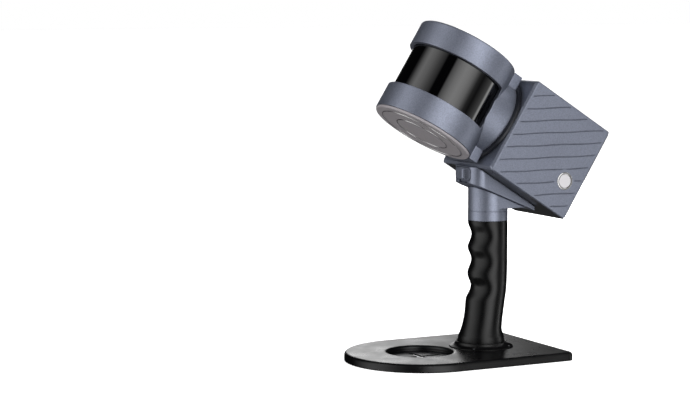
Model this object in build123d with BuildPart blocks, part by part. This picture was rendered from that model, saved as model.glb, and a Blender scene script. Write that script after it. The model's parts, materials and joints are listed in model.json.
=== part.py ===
"""Hand-held laser scanner on a ground-mark base, millimetres.

Origin: underside of the base plate, on the axis of the handle neck. +Z is up, +Y is across,
-X is the scanning side (the round sensor head) and +X is the rear. The camera-like main body is
tilted, and the sensor head turns about the axis square to the body's front face.
"""
from build123d import *
import math
import os

# ---------------------------------------------------------------- driving dimensions
# Fits
running = 0.08           # radial clearance of a shaft in its bearing
seat = 0.05              # radial clearance of a piece seated in another
gap = 0.4                # clearance round a piece that moves past another

# Base plate
base_thickness = 8.4
base_width = 154.4
base_rear = 58.2         # rear edge, behind the neck axis
base_arc_x = -78.9       # centre of the round front end and of the target recess
base_edge = 3.4          # rounded upper edge
base_corner = 8.0        # rear corners in plan
target_radius = 33.0
target_lip = 3.0         # rounded lip of the recess
target_floor = 3.0       # the recess's floor, above the ground
target_web = 1.3         # thickness of that floor
target_relief = 27.0     # radius of the hollow under it
cross_arm = 23.0         # half-length of each slot of the cross
cross_slot = 4.6

# Handle
foot_x = -7.1            # centre of the handle's foot, ahead of the neck
foot_radius = 24.2
grip_top = 139.0         # seam between the grip and the neck
grip_radius = 20.5
core_x = -1.2            # axis of the battery tube
core_radius = 12.7
cell_radius = 9.2
cell_length = 65.0
cell_floor = 18.0        # underside of the lower cell
finger_levels = (123.8, 97.8, 69.8)
finger_depth = 4.2
finger_reach = 11.0      # half-height of a finger hollow
finger_wrap = 65.0       # degrees from the front where a hollow fades out
collar_height = 5.8
collar_skirt = 33.0
collar_lip = 26.3
collar_gap = 0.7
collar_screw_circle = 29.0
collar_screw_head, collar_screw_shank = 4.0, 2.2
collar_screw_depth = 2.2
collar_screw_grip = 1.6
stud_radius = 4.0        # threaded stud that the handle's foot screws onto
stud_floor = 2.6         # metal left under the stud's hole
foot_thickness = 5.0
contact_radius = 5.6
contact_top = 167.5

# Main body
tilt = 32.25             # head axis above the horizontal
front_x, front_z = 0.6, 239.9   # centre of the body's front face
body_length = 105.2
body_width = 97.8
body_height = 102.6
body_wall = 3.0
front_wall = 4.0
cover_plate = 3.0
rear_plate = 4.0
body_bevel = 2.2         # bevel round the front and rear faces
body_edge = 0.9          # bevel of the four long edges
cover_screw_inset = 8.2  # cover screws, in from the outer sides
post = 11.0              # corner posts that take the cover screws
post_relief = 1.6
groove_pitch = 12.51
groove_count = 10
groove_first = 154.6     # height of the lowest side groove
groove_width = 0.7
groove_depth = 0.8
groove_margin = 2.6      # side grooves stop this far inside the edges
groove_wave = 0.3        # the grooves are very slightly wavy
groove_wave_length = 27.0
groove_bends = 9
cover_screw_head, cover_screw_shank = 4.4, 2.5
cover_screw_length = 7.0 # shank in the post
cover_screw_sink = 1.6   # depth of the recess round each head
rear_screw_height = 36.5 # above and below the body's middle

# Ports behind a small door in the rear cover
port_level = -14.0       # above the body's middle
port_width, port_height = 38.0, 20.0
port_spread = 8.5
door_depth = 2.6
door_plate = 1.6
hinge_in = 1.5           # hinge pin, in from the rear face
hinge_radius = 1.3
pin_radius = 0.6
ear_width = 5.0
hinge_band = 4.4
panel_depth = 6.0
socket_radius = 3.6

# Electronics inside the body
standoff = 7.3
board_front, board_back = 18.0, 90.0    # behind the front face
board_width = 70.0
board_thickness = 1.6
chip_back = 79.0
chip_height = 2.0

# Power button, on the near side
button_back = 83.2       # behind the front face
button_drop = 18.3       # below the body's middle
button_radius = 7.0
bezel_radius = button_radius + 2.1
bezel_proud = 1.2
button_sunk = 0.1        # the cap's face below the bezel's
button_travel = 1.0
button_cap = 2.4         # thickness of the cap
button_well = 4.6        # depth behind the side's face where the switch stands
barrel_radius = button_radius + 1.2
barrel_length = 9.0
switch_radius = 5.6
plunger_radius = 1.6
nut_wall = 2.6
nut_thickness = 3.0

# Quick-release wedge and neck
wedge_width = 48.0
wedge_front = -29.7
wedge_rear = 42.4
wedge_corner = 12.5      # rounding of the front corners
wedge_rear_corner = 1.5
wedge_low_front = 178.6  # height of the lower edge at the front and at the rear
wedge_low_rear = 148.3
wedge_nose = 3.6         # level strip along the wedge's front top edge
parting_gap = 0.7        # shadow gap above and below the wedge
parting_depth = 1.2
gusset_level = 151.7
neck_ring = 148.6        # height of the fine ring groove on the neck
latch_width = 26.4
latch_corner = 3.4
latch_side_gap = 1.1     # shadow gap at the button's two ends
latch_low, latch_high = 181.3, 193.9
latch_travel = 2.5
latch_plate = 2.5
stem_width = 16.0
stem_low, stem_high = 179.0, 183.2
stem_end = -14.0
tooth_x, tooth_length, tooth_width = -17.5, 3.0, 6.0
tooth_low = 169.5
spring_level = 180.4
release_spring_radius = 1.5
release_spring_length = 7.0
thumb_side = -3.0        # the thumb pad stands a little to the near side
thumb_hollow = 15.0      # radius of the pad's hollow
thumb_depth = 1.0
thumb_margin = 1.6
wedge_screw_aheads = (-20.0, -52.0)
wedge_screw_side = 16.0
wedge_screw_grip = 5.0

# Spin drive
table_gap = 0.8          # between the turntable and the body
table_radius = 48.7
table_thickness = 3.2
shaft_radius = 10.0
shaft_bore = 6.0
shaft_length = 62.8
bearing_radius = 16.0
bearing_width = 7.0
flange_radius = 36.0
housing_radius = 34.0
housing_wall = 3.0
motor_radius = 24.0
motor_start, motor_length = 39.0, 18.0
housing_end = 66.0
housing_screw_circle = 30.0
rear_bearing = 28.0      # front of the rear bearing, behind the body's front face

# Sensor head
head_reach = 61.2        # sensor axis ahead of the body's front face
head_radius = 53.5
head_height = 100.9
cap_height = 25.6        # closed band above the window
band_height = 28.6       # closed band below the window
opening_back = 34.2      # the window opening ends this far behind the sensor axis
opening_corner = 3.0
window_radius = 48.8
window_wall = 2.3
cover_radius = 52.8
cover_depth = 2.45       # grey bottom cover
cover_seam = 0.4
cover_rings = (45.2, 28.6)   # outer radii of the cover's ring grooves
cover_ring_width = 1.1
cover_ring_depth = 0.8
drum_radius = 44.0
drum_reach = 29.0
block_half_width = 26.0
block_top = 50.4
block_low = 49.5
head_edge = 2.0          # rounding of the head's outer edges
cavity_step = 2.3        # the window reaches this far up inside the cap
window_foot = 2.15       # and this far down inside the lower band
cap_wall = 4.0
table_screw_side, table_screw_rise = 25.0, 17.0
table_screw_sink = 1.8
table_screw_reach = 14.6 # shank beyond the head seat
cup_wall, cup_floor = 3.4, 5.0
spindle_radius = 5.0
spindle_top = 30.0
platform_level, platform_thickness, platform_radius = -20.0, 4.0, 43.0
hub_radius, hub_top = 14.0, 18.0
stator_radius, magnet_radius = 22.0, 26.0
optics_front, optics_back, optics_half = 36.0, 16.0, 24.0
lens_radius, lens_spread = 10.4, 12.0
sensor_bearing_radius = 9.5

# ---------------------------------------------------------------- directions and planes
tilt_rad = math.radians(tilt)
head_axis = Vector(-math.cos(tilt_rad), 0, math.sin(tilt_rad))
body_up = Vector(math.sin(tilt_rad), 0, math.cos(tilt_rad))
front_centre = Vector(front_x, 0, front_z)
sensor_centre = front_centre + head_axis * head_reach
half_width, half_height, half_head = body_width / 2, body_height / 2, head_height / 2


def head_plane(ahead):
    """Plane square to the spin axis: x towards the near side (-Y), y along body_up."""
    return Plane(origin=front_centre + head_axis * ahead, x_dir=(0, -1, 0), z_dir=head_axis)


def deck_plane(height, ahead=0.0):
    """Plane parallel to the body's top: x forwards, y towards the near side."""
    origin = front_centre + head_axis * ahead + body_up * height
    return Plane(origin=origin, x_dir=head_axis, z_dir=body_up)


def sensor_plane(height):
    """Plane square to the sensor axis, centred on it: x forwards."""
    return Plane(origin=sensor_centre + body_up * height, x_dir=head_axis, z_dir=body_up)


def side_plane(out):
    """Plane of the near side, out from the middle: x to the rear, y along body_up."""
    return Plane(origin=front_centre - Vector(0, out, 0), x_dir=-head_axis, z_dir=(0, -1, 0))


def profile_plane():
    """Half-profile plane through the spin axis: x away from the axis, y ahead."""
    return Plane(origin=front_centre, x_dir=(0, -1, 0), z_dir=-body_up)


def square_points(circle):
    """Four screw places on a circle, at 45 degrees to the axes."""
    reach = circle * math.sqrt(0.5)
    return [(x, y) for x in (-reach, reach) for y in (-reach, reach)]


def screw_group(face, points, head, shank, length, head_height):
    """Separate cap screws seated on a face, each with a hexagon socket."""
    with BuildPart() as group:
        with BuildSketch(face):
            with Locations(*points):
                Circle(head / 2)
        extrude(amount=head_height)
        with BuildSketch(face):
            with Locations(*points):
                Circle(shank / 2)
        extrude(amount=-length)
        with BuildSketch(face.offset(head_height)):
            with Locations(*points):
                RegularPolygon(head * 0.27, 6)
        extrude(amount=-head_height * 0.6, mode=Mode.SUBTRACT)
    return group


def coil_spring(start, radius, wire, turns, length):
    """Open coil spring along a plane's normal."""
    pitch = (length - wire) / turns
    coil = Helix(pitch, length - wire, radius)
    turned = start.location * Pos(0, 0, wire / 2) * coil
    with BuildPart() as spring:
        with BuildSketch(Plane(origin=turned @ 0, z_dir=turned % 0)):
            Circle(wire / 2)
        sweep(path=turned, is_frenet=True)
    return spring


# ---------------------------------------------------------------- base
with BuildPart() as base_plate:
    with BuildSketch() as outline:
        with Locations((base_arc_x, 0)):
            Rectangle(base_rear - base_arc_x, base_width, align=(Align.MIN, Align.CENTER))
        fillet(outline.vertices().group_by(Axis.X)[-1], base_corner)
        with Locations((base_arc_x, 0)):
            Circle(base_width / 2)
    extrude(amount=base_thickness)
    fillet(base_plate.faces().sort_by(Axis.Z)[-1].edges(), base_edge)
    # target recess with a rounded lip, and the cross seen through its floor
    with BuildSketch(Plane((base_arc_x, 0, target_floor))):
        Circle(target_radius)
    extrude(amount=base_thickness, mode=Mode.SUBTRACT)
    lip = base_plate.edges().filter_by(GeomType.CIRCLE).filter_by(
        lambda e: abs(e.radius - target_radius) < 0.01 and e.center().Z > target_floor + 1)
    fillet(lip, target_lip)
    with BuildSketch(Plane((base_arc_x, 0, 0))):
        SlotOverall(2 * cross_arm, cross_slot)
        SlotOverall(2 * cross_arm, cross_slot, rotation=90)
    extrude(amount=target_floor, mode=Mode.SUBTRACT)
    with BuildSketch(Plane((base_arc_x, 0, 0))):
        Circle(target_relief)
    extrude(amount=target_floor - target_web, mode=Mode.SUBTRACT)
    # blind hole for the stud, and holes from below for the collar screws
    with BuildSketch(Plane((core_x, 0, stud_floor))):
        Circle(stud_radius + seat)
    extrude(amount=base_thickness, mode=Mode.SUBTRACT)
    with BuildSketch(Plane((foot_x, 0, 0))):
        with PolarLocations(collar_screw_circle, 4, start_angle=45):
            Circle(collar_screw_head / 2 + gap)
    extrude(amount=collar_screw_depth, mode=Mode.SUBTRACT)
    with BuildSketch(Plane((foot_x, 0, 0))):
        with PolarLocations(collar_screw_circle, 4, start_angle=45):
            Circle(collar_screw_shank / 2 + seat)
    extrude(amount=base_thickness, mode=Mode.SUBTRACT)

# collar round the foot of the handle: a flared ring with a rounded lip
collar_bore = foot_radius + collar_gap
with BuildPart() as handle_collar:
    with BuildSketch(Plane((foot_x, 0, base_thickness), x_dir=(1, 0, 0), z_dir=(0, -1, 0))):
        with BuildLine():
            lip_radius = (collar_lip - collar_bore) / 2
            base_line = Line((collar_bore, 0), (collar_skirt, 0))
            lip_start = (collar_lip, collar_height - lip_radius)
            flare = Spline((collar_skirt, 0.6), (collar_lip + 1.6, 2.2), lip_start,
                           tangents=((-1, 0.15), (0, 1)))
            Line(base_line @ 1, flare @ 0)
            top = ThreePointArc(flare @ 1, ((collar_bore + collar_lip) / 2, collar_height),
                                (collar_bore, collar_height - lip_radius))
            Line(top @ 1, base_line @ 0)
        make_face()
    revolve(axis=Axis((foot_x, 0, 0), (0, 0, 1)))
    with BuildSketch(Plane((foot_x, 0, base_thickness))):
        with PolarLocations(collar_screw_circle, 4, start_angle=45):
            Circle(collar_screw_shank / 2 + seat)
    extrude(amount=collar_screw_grip, mode=Mode.SUBTRACT)

collar_screws = screw_group(Plane((foot_x, 0, collar_screw_depth), x_dir=(1, 0, 0), z_dir=(0, 0, -1)),
                            square_points(collar_screw_circle), collar_screw_head, collar_screw_shank,
                            base_thickness - collar_screw_depth + collar_screw_grip - seat, 1.8)

with BuildPart() as base_stud:
    with BuildSketch(Plane((core_x, 0, stud_floor))):
        Circle(stud_radius)
    extrude(amount=base_thickness + foot_thickness - gap - stud_floor)
    chamfer(base_stud.edges().filter_by(GeomType.CIRCLE), 0.6)

# ---------------------------------------------------------------- handle
# Centre and radius of the grip at each height: straight above, then leaning forwards and
# flaring into its foot.
grip_stations = ((base_thickness, foot_x, foot_radius), (15.5, foot_x, foot_radius),
                 (23.0, foot_x + 0.1, foot_radius - 2.0), (31.0, foot_x + 1.2, foot_radius - 3.7),
                 (42.0, foot_x + 3.0, grip_radius - 0.6), (56.0, foot_x + 4.7, grip_radius - 0.2),
                 (72.0, foot_x + 6.6, grip_radius - 0.1), (88.0, 0.0, grip_radius),
                 (grip_top, 0.0, grip_radius))
with BuildPart() as grip_sleeve:
    for level, x, radius in grip_stations:
        with BuildSketch(Plane((x, 0, level))):
            Circle(radius)
    loft(ruled=True)
    # finger hollows: each is cut by a ring whose centre stands behind the grip
    fade = math.cos(math.radians(finger_wrap))
    ring_shift = finger_depth * (2 * grip_radius - finger_depth)
    ring_shift /= 2 * (grip_radius * (1 - fade) - finger_depth)
    ring_bore = grip_radius - finger_depth + ring_shift
    ring_section = (finger_reach ** 2 + finger_depth ** 2) / (2 * finger_depth)
    for level in finger_levels:
        with BuildSketch(Plane((ring_shift, 0, level), x_dir=(1, 0, 0), z_dir=(0, -1, 0))):
            with Locations((-ring_bore - ring_section, 0)):
                Circle(ring_section)
        revolve(axis=Axis((ring_shift, 0, 0), (0, 0, 1)), revolution_arc=360, mode=Mode.SUBTRACT)
    with BuildSketch(Plane((core_x, 0, base_thickness))):
        Circle(core_radius + seat)
    extrude(amount=grip_top, mode=Mode.SUBTRACT)

with BuildPart() as grip_core:
    with BuildSketch(Plane((core_x, 0, base_thickness + foot_thickness))):
        Circle(core_radius)
        Circle(cell_radius + gap, mode=Mode.SUBTRACT)
    extrude(amount=grip_top - base_thickness - foot_thickness)

with BuildPart() as grip_foot:
    with BuildSketch(Plane((core_x, 0, base_thickness))):
        Circle(core_radius)
    extrude(amount=foot_thickness)
    with BuildSketch(Plane((core_x, 0, base_thickness))):
        Circle(stud_radius + running)
    extrude(amount=foot_thickness, mode=Mode.SUBTRACT)

battery_spring = coil_spring(Plane((core_x, 0, base_thickness + foot_thickness)), 5.0, 0.9, 2.5,
                             cell_floor - base_thickness - foot_thickness)

with BuildPart() as battery_cells:
    for cell in range(2):
        floor = cell_floor + cell * (cell_length + 1.0)
        with BuildSketch(Plane((core_x, 0, floor))):
            Circle(cell_radius)
        extrude(amount=cell_length - 1.2)
        fillet(battery_cells.edges().filter_by(GeomType.CIRCLE).filter_by(
            lambda e: e.radius > cell_radius - 0.1 and e.center().Z > floor - 0.5), 0.8)
        with BuildSketch(Plane((core_x, 0, floor + cell_length - 1.2))):
            Circle(3.0)
        extrude(amount=1.2)

cell_top = cell_floor + 2 * cell_length + 1.0
with BuildPart() as battery_contact:
    with BuildSketch(Plane((core_x, 0, cell_top))):
        Circle(cell_radius)
    extrude(amount=1.0)

# ---------------------------------------------------------------- neck and wedge
slope = math.atan2(wedge_low_front - wedge_low_rear, wedge_rear - wedge_front)


def wedge_low(x):
    """Height of the wedge's lower face."""
    return wedge_low_front - (x - wedge_front) * math.tan(slope)


def body_low(x):
    """Height of the body's underside."""
    return front_z - half_height * math.cos(tilt_rad) - (x - front_x + half_height * math.sin(tilt_rad)) * \
        math.tan(tilt_rad)


# The neck and the wedge each end in a narrower plinth, which leaves the shadow gaps.
plinths = ((0.0, parting_gap), (parting_depth, 0.0))

with BuildPart() as neck:
    for inset, drop in plinths:
        with BuildPart():
            with BuildSketch(Plane((0, 0, grip_top))):
                Circle(grip_radius - inset)
            extrude(amount=wedge_low_front - grip_top)
            with BuildSketch(Plane((0, 0, gusset_level))):
                Rectangle(wedge_rear - inset, 2 * (grip_radius - inset), align=(Align.MIN, Align.CENTER))
            extrude(amount=wedge_low_front - gusset_level)
            with BuildSketch(Plane.XZ):
                with BuildLine():
                    low_front = (wedge_front, wedge_low(wedge_front) - drop / math.cos(slope))
                    low_rear = (wedge_rear, wedge_low(wedge_rear) - drop / math.cos(slope))
                    Polyline(low_front, low_rear, (wedge_rear, latch_high), (wedge_front, latch_high),
                             close=True)
                make_face()
            extrude(amount=wedge_width, both=True, mode=Mode.SUBTRACT)
    # fine ring groove, the battery tube's upper end, the contact block's hole and the latch notch
    with BuildSketch(Plane((0, 0, neck_ring))):
        Circle(grip_radius + 1)
        Circle(grip_radius - 0.35, mode=Mode.SUBTRACT)
        with Locations((grip_radius * 0.6, 0)):
            Rectangle(2 * grip_radius, 3 * grip_radius, align=(Align.MIN, Align.CENTER), mode=Mode.SUBTRACT)
    extrude(amount=0.5, mode=Mode.SUBTRACT)
    with BuildSketch(Plane((core_x, 0, grip_top))):
        Circle(cell_radius + gap)
    extrude(amount=cell_top + 1.0 - grip_top, mode=Mode.SUBTRACT)
    with BuildSketch(Plane((core_x, 0, cell_top))):
        Circle(contact_radius + seat)
    extrude(amount=30, mode=Mode.SUBTRACT)
    with BuildSketch(Plane((tooth_x - gap, 0, tooth_low - gap))):
        Rectangle(tooth_length + latch_travel + 2 * gap, tooth_width + 2 * gap,
                  align=(Align.MIN, Align.CENTER))
    extrude(amount=wedge_low_front - tooth_low, mode=Mode.SUBTRACT)

latch_middle = (latch_low + latch_high) / 2


def latch_plane(x):
    """Plane across the release button at a depth: x towards the near side, z forwards."""
    return Plane((x, 0, latch_middle), x_dir=(0, -1, 0), z_dir=(-1, 0, 0))


with BuildPart() as mount_wedge:
    for inset, drop in plinths:
        with BuildPart():
            front, rear = wedge_front + inset, wedge_rear - inset
            nose = front + wedge_nose
            with BuildSketch(Plane.XZ):
                with BuildLine():
                    Polyline((front, wedge_low(front)), (rear, wedge_low(rear)),
                             (rear, body_low(rear) - drop / math.cos(tilt_rad)),
                             (nose, body_low(nose) - drop / math.cos(tilt_rad)),
                             (front, body_low(nose) - drop / math.cos(tilt_rad)), close=True)
                make_face()
            extrude(amount=wedge_width / 2 - inset, both=True)
            fillet(edges().filter_by(Axis.Z).sort_by(Axis.X)[0:2], wedge_corner - inset)
            fillet(edges().filter_by(Axis.Z).sort_by(Axis.X)[-2:], wedge_rear_corner)
    # pockets for the release button, its stem, its spring and the tooth, and the contact block's socket
    with BuildSketch(latch_plane(wedge_front - 1)):
        RectangleRounded(latch_width + 2 * latch_side_gap, latch_high - latch_low + 2 * gap,
                         latch_corner + gap)
    extrude(amount=-(1 + latch_plate + latch_travel + gap), mode=Mode.SUBTRACT)
    with BuildSketch(Plane((wedge_front, 0, (stem_low + stem_high) / 2), x_dir=(0, -1, 0), z_dir=(-1, 0, 0))):
        Rectangle(stem_width + 2 * gap, stem_high - stem_low + 2 * gap)
    extrude(amount=-(stem_end - wedge_front + latch_travel + gap), mode=Mode.SUBTRACT)
    with BuildSketch(Plane((stem_end, 0, spring_level), x_dir=(0, -1, 0), z_dir=(-1, 0, 0))):
        Circle(release_spring_radius + 0.4 + gap)
    extrude(amount=-release_spring_length, mode=Mode.SUBTRACT)
    with BuildSketch(Plane((tooth_x - gap, 0, stem_low))):
        Rectangle(tooth_length + latch_travel + 2 * gap, tooth_width + 2 * gap,
                  align=(Align.MIN, Align.CENTER))
    extrude(amount=-12, mode=Mode.SUBTRACT)
    with BuildSketch(Plane((core_x, 0, cell_top))):
        Circle(contact_radius + seat)
    extrude(amount=contact_top - cell_top + seat, mode=Mode.SUBTRACT)
    for ahead in wedge_screw_aheads:
        with BuildSketch(deck_plane(-half_height, ahead)):
            with Locations((0, wedge_screw_side), (0, -wedge_screw_side)):
                Circle(1.5 + seat)
        extrude(amount=-wedge_screw_grip - 0.5, mode=Mode.SUBTRACT)

wedge_screws = screw_group(deck_plane(cover_plate - half_height, 0),
                           [(a, s * wedge_screw_side) for a in wedge_screw_aheads for s in (-1, 1)],
                           5.4, 3.0, cover_plate + wedge_screw_grip, 2.4)

with BuildPart() as contact_block:
    with BuildSketch(Plane((core_x, 0, cell_top + 1.0))):
        Circle(contact_radius)
    extrude(amount=contact_top - cell_top - 1.0)

with BuildPart() as release_button:
    with BuildSketch(latch_plane(wedge_front)):
        RectangleRounded(latch_width, latch_high - latch_low, latch_corner)
    extrude(amount=-latch_plate)
    with BuildSketch(Plane((wedge_front + latch_plate, 0, (stem_low + stem_high) / 2),
                           x_dir=(0, -1, 0), z_dir=(-1, 0, 0))):
        Rectangle(stem_width, stem_high - stem_low)
    extrude(amount=-(stem_end - wedge_front - latch_plate))
    with BuildSketch(Plane((tooth_x, 0, stem_low))):
        Rectangle(tooth_length, tooth_width, align=(Align.MIN, Align.CENTER))
    extrude(amount=tooth_low - stem_low)
    # hollow thumb pad, ribbed across
    with BuildSketch(Plane((wedge_front - thumb_hollow, thumb_side, latch_low + thumb_margin))):
        Circle(thumb_hollow + thumb_depth)
    extrude(amount=latch_high - latch_low - 2 * thumb_margin, mode=Mode.SUBTRACT)
    with BuildSketch(latch_plane(wedge_front + thumb_depth + 0.2)):
        with Locations((-thumb_side, 0)):
            with GridLocations(0, 1.9, 1, 4):
                SlotOverall(7.6, 0.7)
    extrude(amount=0.8)

release_spring = coil_spring(Plane((stem_end, 0, spring_level), x_dir=(0, 1, 0), z_dir=(1, 0, 0)),
                             release_spring_radius, 0.7, 5, release_spring_length)

# ---------------------------------------------------------------- body shell and covers
inside_width = body_width / 2 - body_wall
inside_height = half_height - body_wall
rear_face = -body_length
post_side = half_width - cover_screw_inset
bottom_screw_aheads = (-cover_screw_inset - 2.4, rear_face + cover_screw_inset + 1)
bottom_screw_points = [(a, s * post_side) for a in bottom_screw_aheads for s in (-1, 1)]
hinge_level = port_level - port_height / 2 + hinge_radius
rear_screw_points = [(s * post_side, v) for s in (-1, 1) for v in (-rear_screw_height, rear_screw_height)]

with BuildPart() as body_shell:
    with BuildSketch(head_plane(0)):
        Rectangle(body_width, body_height)
    extrude(amount=-body_length)
    chamfer(body_shell.faces().filter_by(Axis((0, 0, 0), head_axis)).edges(), body_bevel)
    chamfer(body_shell.edges().filter_by(lambda e: abs(e.tangent_at(0).dot(head_axis)) > 0.3), body_edge)
    # the inside is open to the rear and below, for the two covers
    with BuildSketch(head_plane(-front_wall)):
        Rectangle(2 * inside_width, 2 * inside_height)
    extrude(amount=-body_length, mode=Mode.SUBTRACT)
    with BuildSketch(deck_plane(-half_height, -front_wall)):
        Rectangle(body_length, 2 * inside_width, align=(Align.MAX, Align.CENTER))
    extrude(amount=body_wall, mode=Mode.SUBTRACT)
    # corner posts for the cover screws, with their tapped holes
    for side in (-1, 1):
        for ahead in (-front_wall, rear_face + rear_plate + post):
            with BuildSketch(deck_plane(cover_plate - half_height, ahead)):
                with Locations((0, side * inside_width)):
                    Rectangle(post, post - post_relief, align=(Align.MAX, Align.MAX if side > 0 else Align.MIN))
            extrude(amount=post + 4)
        with BuildSketch(deck_plane(inside_height, rear_face + rear_plate + post)):
            with Locations((0, side * inside_width)):
                Rectangle(post, post - post_relief, align=(Align.MAX, Align.MAX if side > 0 else Align.MIN))
        extrude(amount=-post - 4)
    with BuildSketch(deck_plane(cover_plate - half_height)):
        with Locations(*bottom_screw_points):
            Circle(cover_screw_shank / 2 + seat)
    extrude(amount=cover_screw_length, mode=Mode.SUBTRACT)
    with BuildSketch(head_plane(rear_face + rear_plate)):
        with Locations(*rear_screw_points):
            Circle(cover_screw_shank / 2 + seat)
    extrude(amount=cover_screw_length, mode=Mode.SUBTRACT)
    # bore for the drive shaft and tapped holes for the drive housing
    with BuildSketch(head_plane(0)):
        Circle(bearing_radius - 1.0)
    extrude(amount=-front_wall, mode=Mode.SUBTRACT)
    with BuildSketch(head_plane(-front_wall)):
        with PolarLocations(housing_screw_circle, 4, start_angle=45):
            Circle(1.5 + seat)
    extrude(amount=front_wall - 0.8, mode=Mode.SUBTRACT)
    # hole for the power button's barrel
    with BuildSketch(side_plane(half_width + 1)):
        with Locations((button_back, -button_drop)):
            Circle(barrel_radius + seat)
    extrude(amount=-body_wall - 2, mode=Mode.SUBTRACT)
    # level grooves across both sides, clipped to an inset of the side's outline
    for facing in (-1, 1):
        face = Plane(origin=(0, facing * half_width, 0), x_dir=(-facing, 0, 0), z_dir=(0, facing, 0))
        with BuildSketch(face) as grooves:
            for k in range(groove_count):
                level = groove_first + k * groove_pitch
                for bend in range(groove_bends):
                    # shallow arcs, bowing up and down in turn, make the slight wave
                    start = front_x - body_length * 0.55 + groove_wave_length * (bend + 0.37 * (k % 3))
                    bow = groove_wave * (1 if bend % 2 else -1)
                    with BuildLine():
                        ThreePointArc((-facing * start, level),
                                      (-facing * (start + groove_wave_length / 2), level + bow),
                                      (-facing * (start + groove_wave_length), level))
                    trace(line_width=groove_width)
            middle = front_centre - head_axis * body_length / 2
            with Locations(Location((-facing * middle.X, middle.Z, 0), (0, 0, facing * tilt))):
                Rectangle(body_length - 2 * (body_bevel + groove_margin), body_height - 2 * groove_margin,
                          mode=Mode.INTERSECT)
            if facing < 0:
                button = front_centre - head_axis * button_back - body_up * button_drop
                with Locations((-facing * button.X, button.Z)):
                    Circle(bezel_radius + 3.0, mode=Mode.SUBTRACT)
        extrude(amount=-groove_depth, mode=Mode.SUBTRACT)

with BuildPart() as bottom_cover:
    with BuildSketch(deck_plane(-half_height, -front_wall - seat)):
        Rectangle(body_length - front_wall - rear_plate - 2 * seat, 2 * (inside_width - seat),
                  align=(Align.MAX, Align.CENTER))
    extrude(amount=cover_plate)
    with BuildSketch(deck_plane(-half_height)):
        with Locations(*bottom_screw_points):
            Circle(cover_screw_head / 2 + 0.3)
    extrude(amount=cover_screw_sink, mode=Mode.SUBTRACT)
    with BuildSketch(deck_plane(-half_height)):
        with Locations(*bottom_screw_points):
            Circle(cover_screw_shank / 2 + running)
        with Locations(*[(a, s * wedge_screw_side) for a in wedge_screw_aheads for s in (-1, 1)]):
            Circle(1.5 + running)
    extrude(amount=cover_plate, mode=Mode.SUBTRACT)

bottom_screws = screw_group(Plane(origin=deck_plane(cover_screw_sink - half_height).origin, x_dir=head_axis,
                                  z_dir=-body_up),
                            [(a, -s) for a, s in bottom_screw_points], cover_screw_head, cover_screw_shank,
                            cover_plate - cover_screw_sink + cover_screw_length - 0.6, cover_screw_sink - 0.2)

with BuildPart() as rear_cover:
    with BuildSketch(head_plane(rear_face)):
        with Locations((0, -body_wall / 2)):
            Rectangle(2 * (inside_width - seat), body_height - body_wall - seat)
    extrude(amount=rear_plate)
    chamfer(rear_cover.faces().filter_by(Axis((0, 0, 0), head_axis)).sort_by(Axis.X)[-1].edges(), 0.5)
    with BuildSketch(head_plane(rear_face)):
        with Locations(*rear_screw_points):
            Circle(cover_screw_head / 2 + 0.3)
    extrude(amount=cover_screw_sink, mode=Mode.SUBTRACT)
    with BuildSketch(head_plane(rear_face)):
        with Locations(*rear_screw_points):
            Circle(cover_screw_shank / 2 + running)
    extrude(amount=rear_plate, mode=Mode.SUBTRACT)
    # recess for the port door, and the window behind it for the port panel
    with BuildSketch(head_plane(rear_face)):
        with Locations((0, port_level)):
            RectangleRounded(port_width + 2 * gap, port_height + 2 * gap, 1.0)
    extrude(amount=door_depth, mode=Mode.SUBTRACT)
    with BuildSketch(head_plane(rear_face)):
        with Locations((0, port_level + hinge_band / 2)):
            RectangleRounded(port_width - 4.0, port_height - hinge_band - 3.0, 1.2)
    extrude(amount=rear_plate, mode=Mode.SUBTRACT)
    # hinge bearings: two ears left standing in the recess hold the pin
    with BuildSketch(side_plane(0)) as ear_profile:
        with Locations((body_length - hinge_in, hinge_level)):
            Circle(hinge_radius)
        with Locations((body_length - door_depth, hinge_level)):
            Rectangle(door_depth - hinge_in, 2 * hinge_radius, align=(Align.MIN, Align.CENTER))
    for side in (-1, 1):
        ear_middle = Location((0, side * (port_width - ear_width) / 2, 0))
        extrude(ear_profile.sketch.moved(ear_middle), amount=ear_width / 2, both=True)
    with BuildSketch(side_plane(0)):
        with Locations((body_length - hinge_in, hinge_level)):
            Circle(pin_radius + seat)
    extrude(amount=port_width / 2 + 3, both=True, mode=Mode.SUBTRACT)

rear_screws = screw_group(Plane(origin=head_plane(rear_face + cover_screw_sink).origin, x_dir=(0, -1, 0),
                                z_dir=-head_axis),
                          [(x, -y) for x, y in rear_screw_points], cover_screw_head, cover_screw_shank,
                          rear_plate - cover_screw_sink + cover_screw_length - 0.6, cover_screw_sink - 0.2)

with BuildPart() as port_door:
    with BuildSketch(side_plane(0)):
        with Locations((body_length - hinge_in, hinge_level)):
            Circle(hinge_radius)
        with Locations((body_length - hinge_in - door_plate / 2, hinge_level)):
            Rectangle(door_plate, port_level + port_height / 2 - hinge_level, align=(Align.MIN, Align.MIN))
    extrude(amount=port_width / 2, both=True)
    for side in (-1, 1):
        with BuildSketch(side_plane(0).offset(
                side * (port_width / 2 - ear_width / 2))):
            with Locations((body_length - hinge_in, hinge_level)):
                Rectangle(4 * hinge_radius, 2 * hinge_radius + 2 * gap)
        extrude(amount=ear_width / 2 + gap, both=True, mode=Mode.SUBTRACT)
    with BuildSketch(side_plane(0)):
        with Locations((body_length - hinge_in, hinge_level)):
            Circle(pin_radius + running)
    extrude(amount=port_width, both=True, mode=Mode.SUBTRACT)
    # finger notch at the free edge
    with BuildSketch(head_plane(rear_face - 1)):
        with Locations((0, port_level + port_height / 2)):
            SlotOverall(12.0, 3.0)
    extrude(amount=1 + hinge_in, mode=Mode.SUBTRACT)

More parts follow.
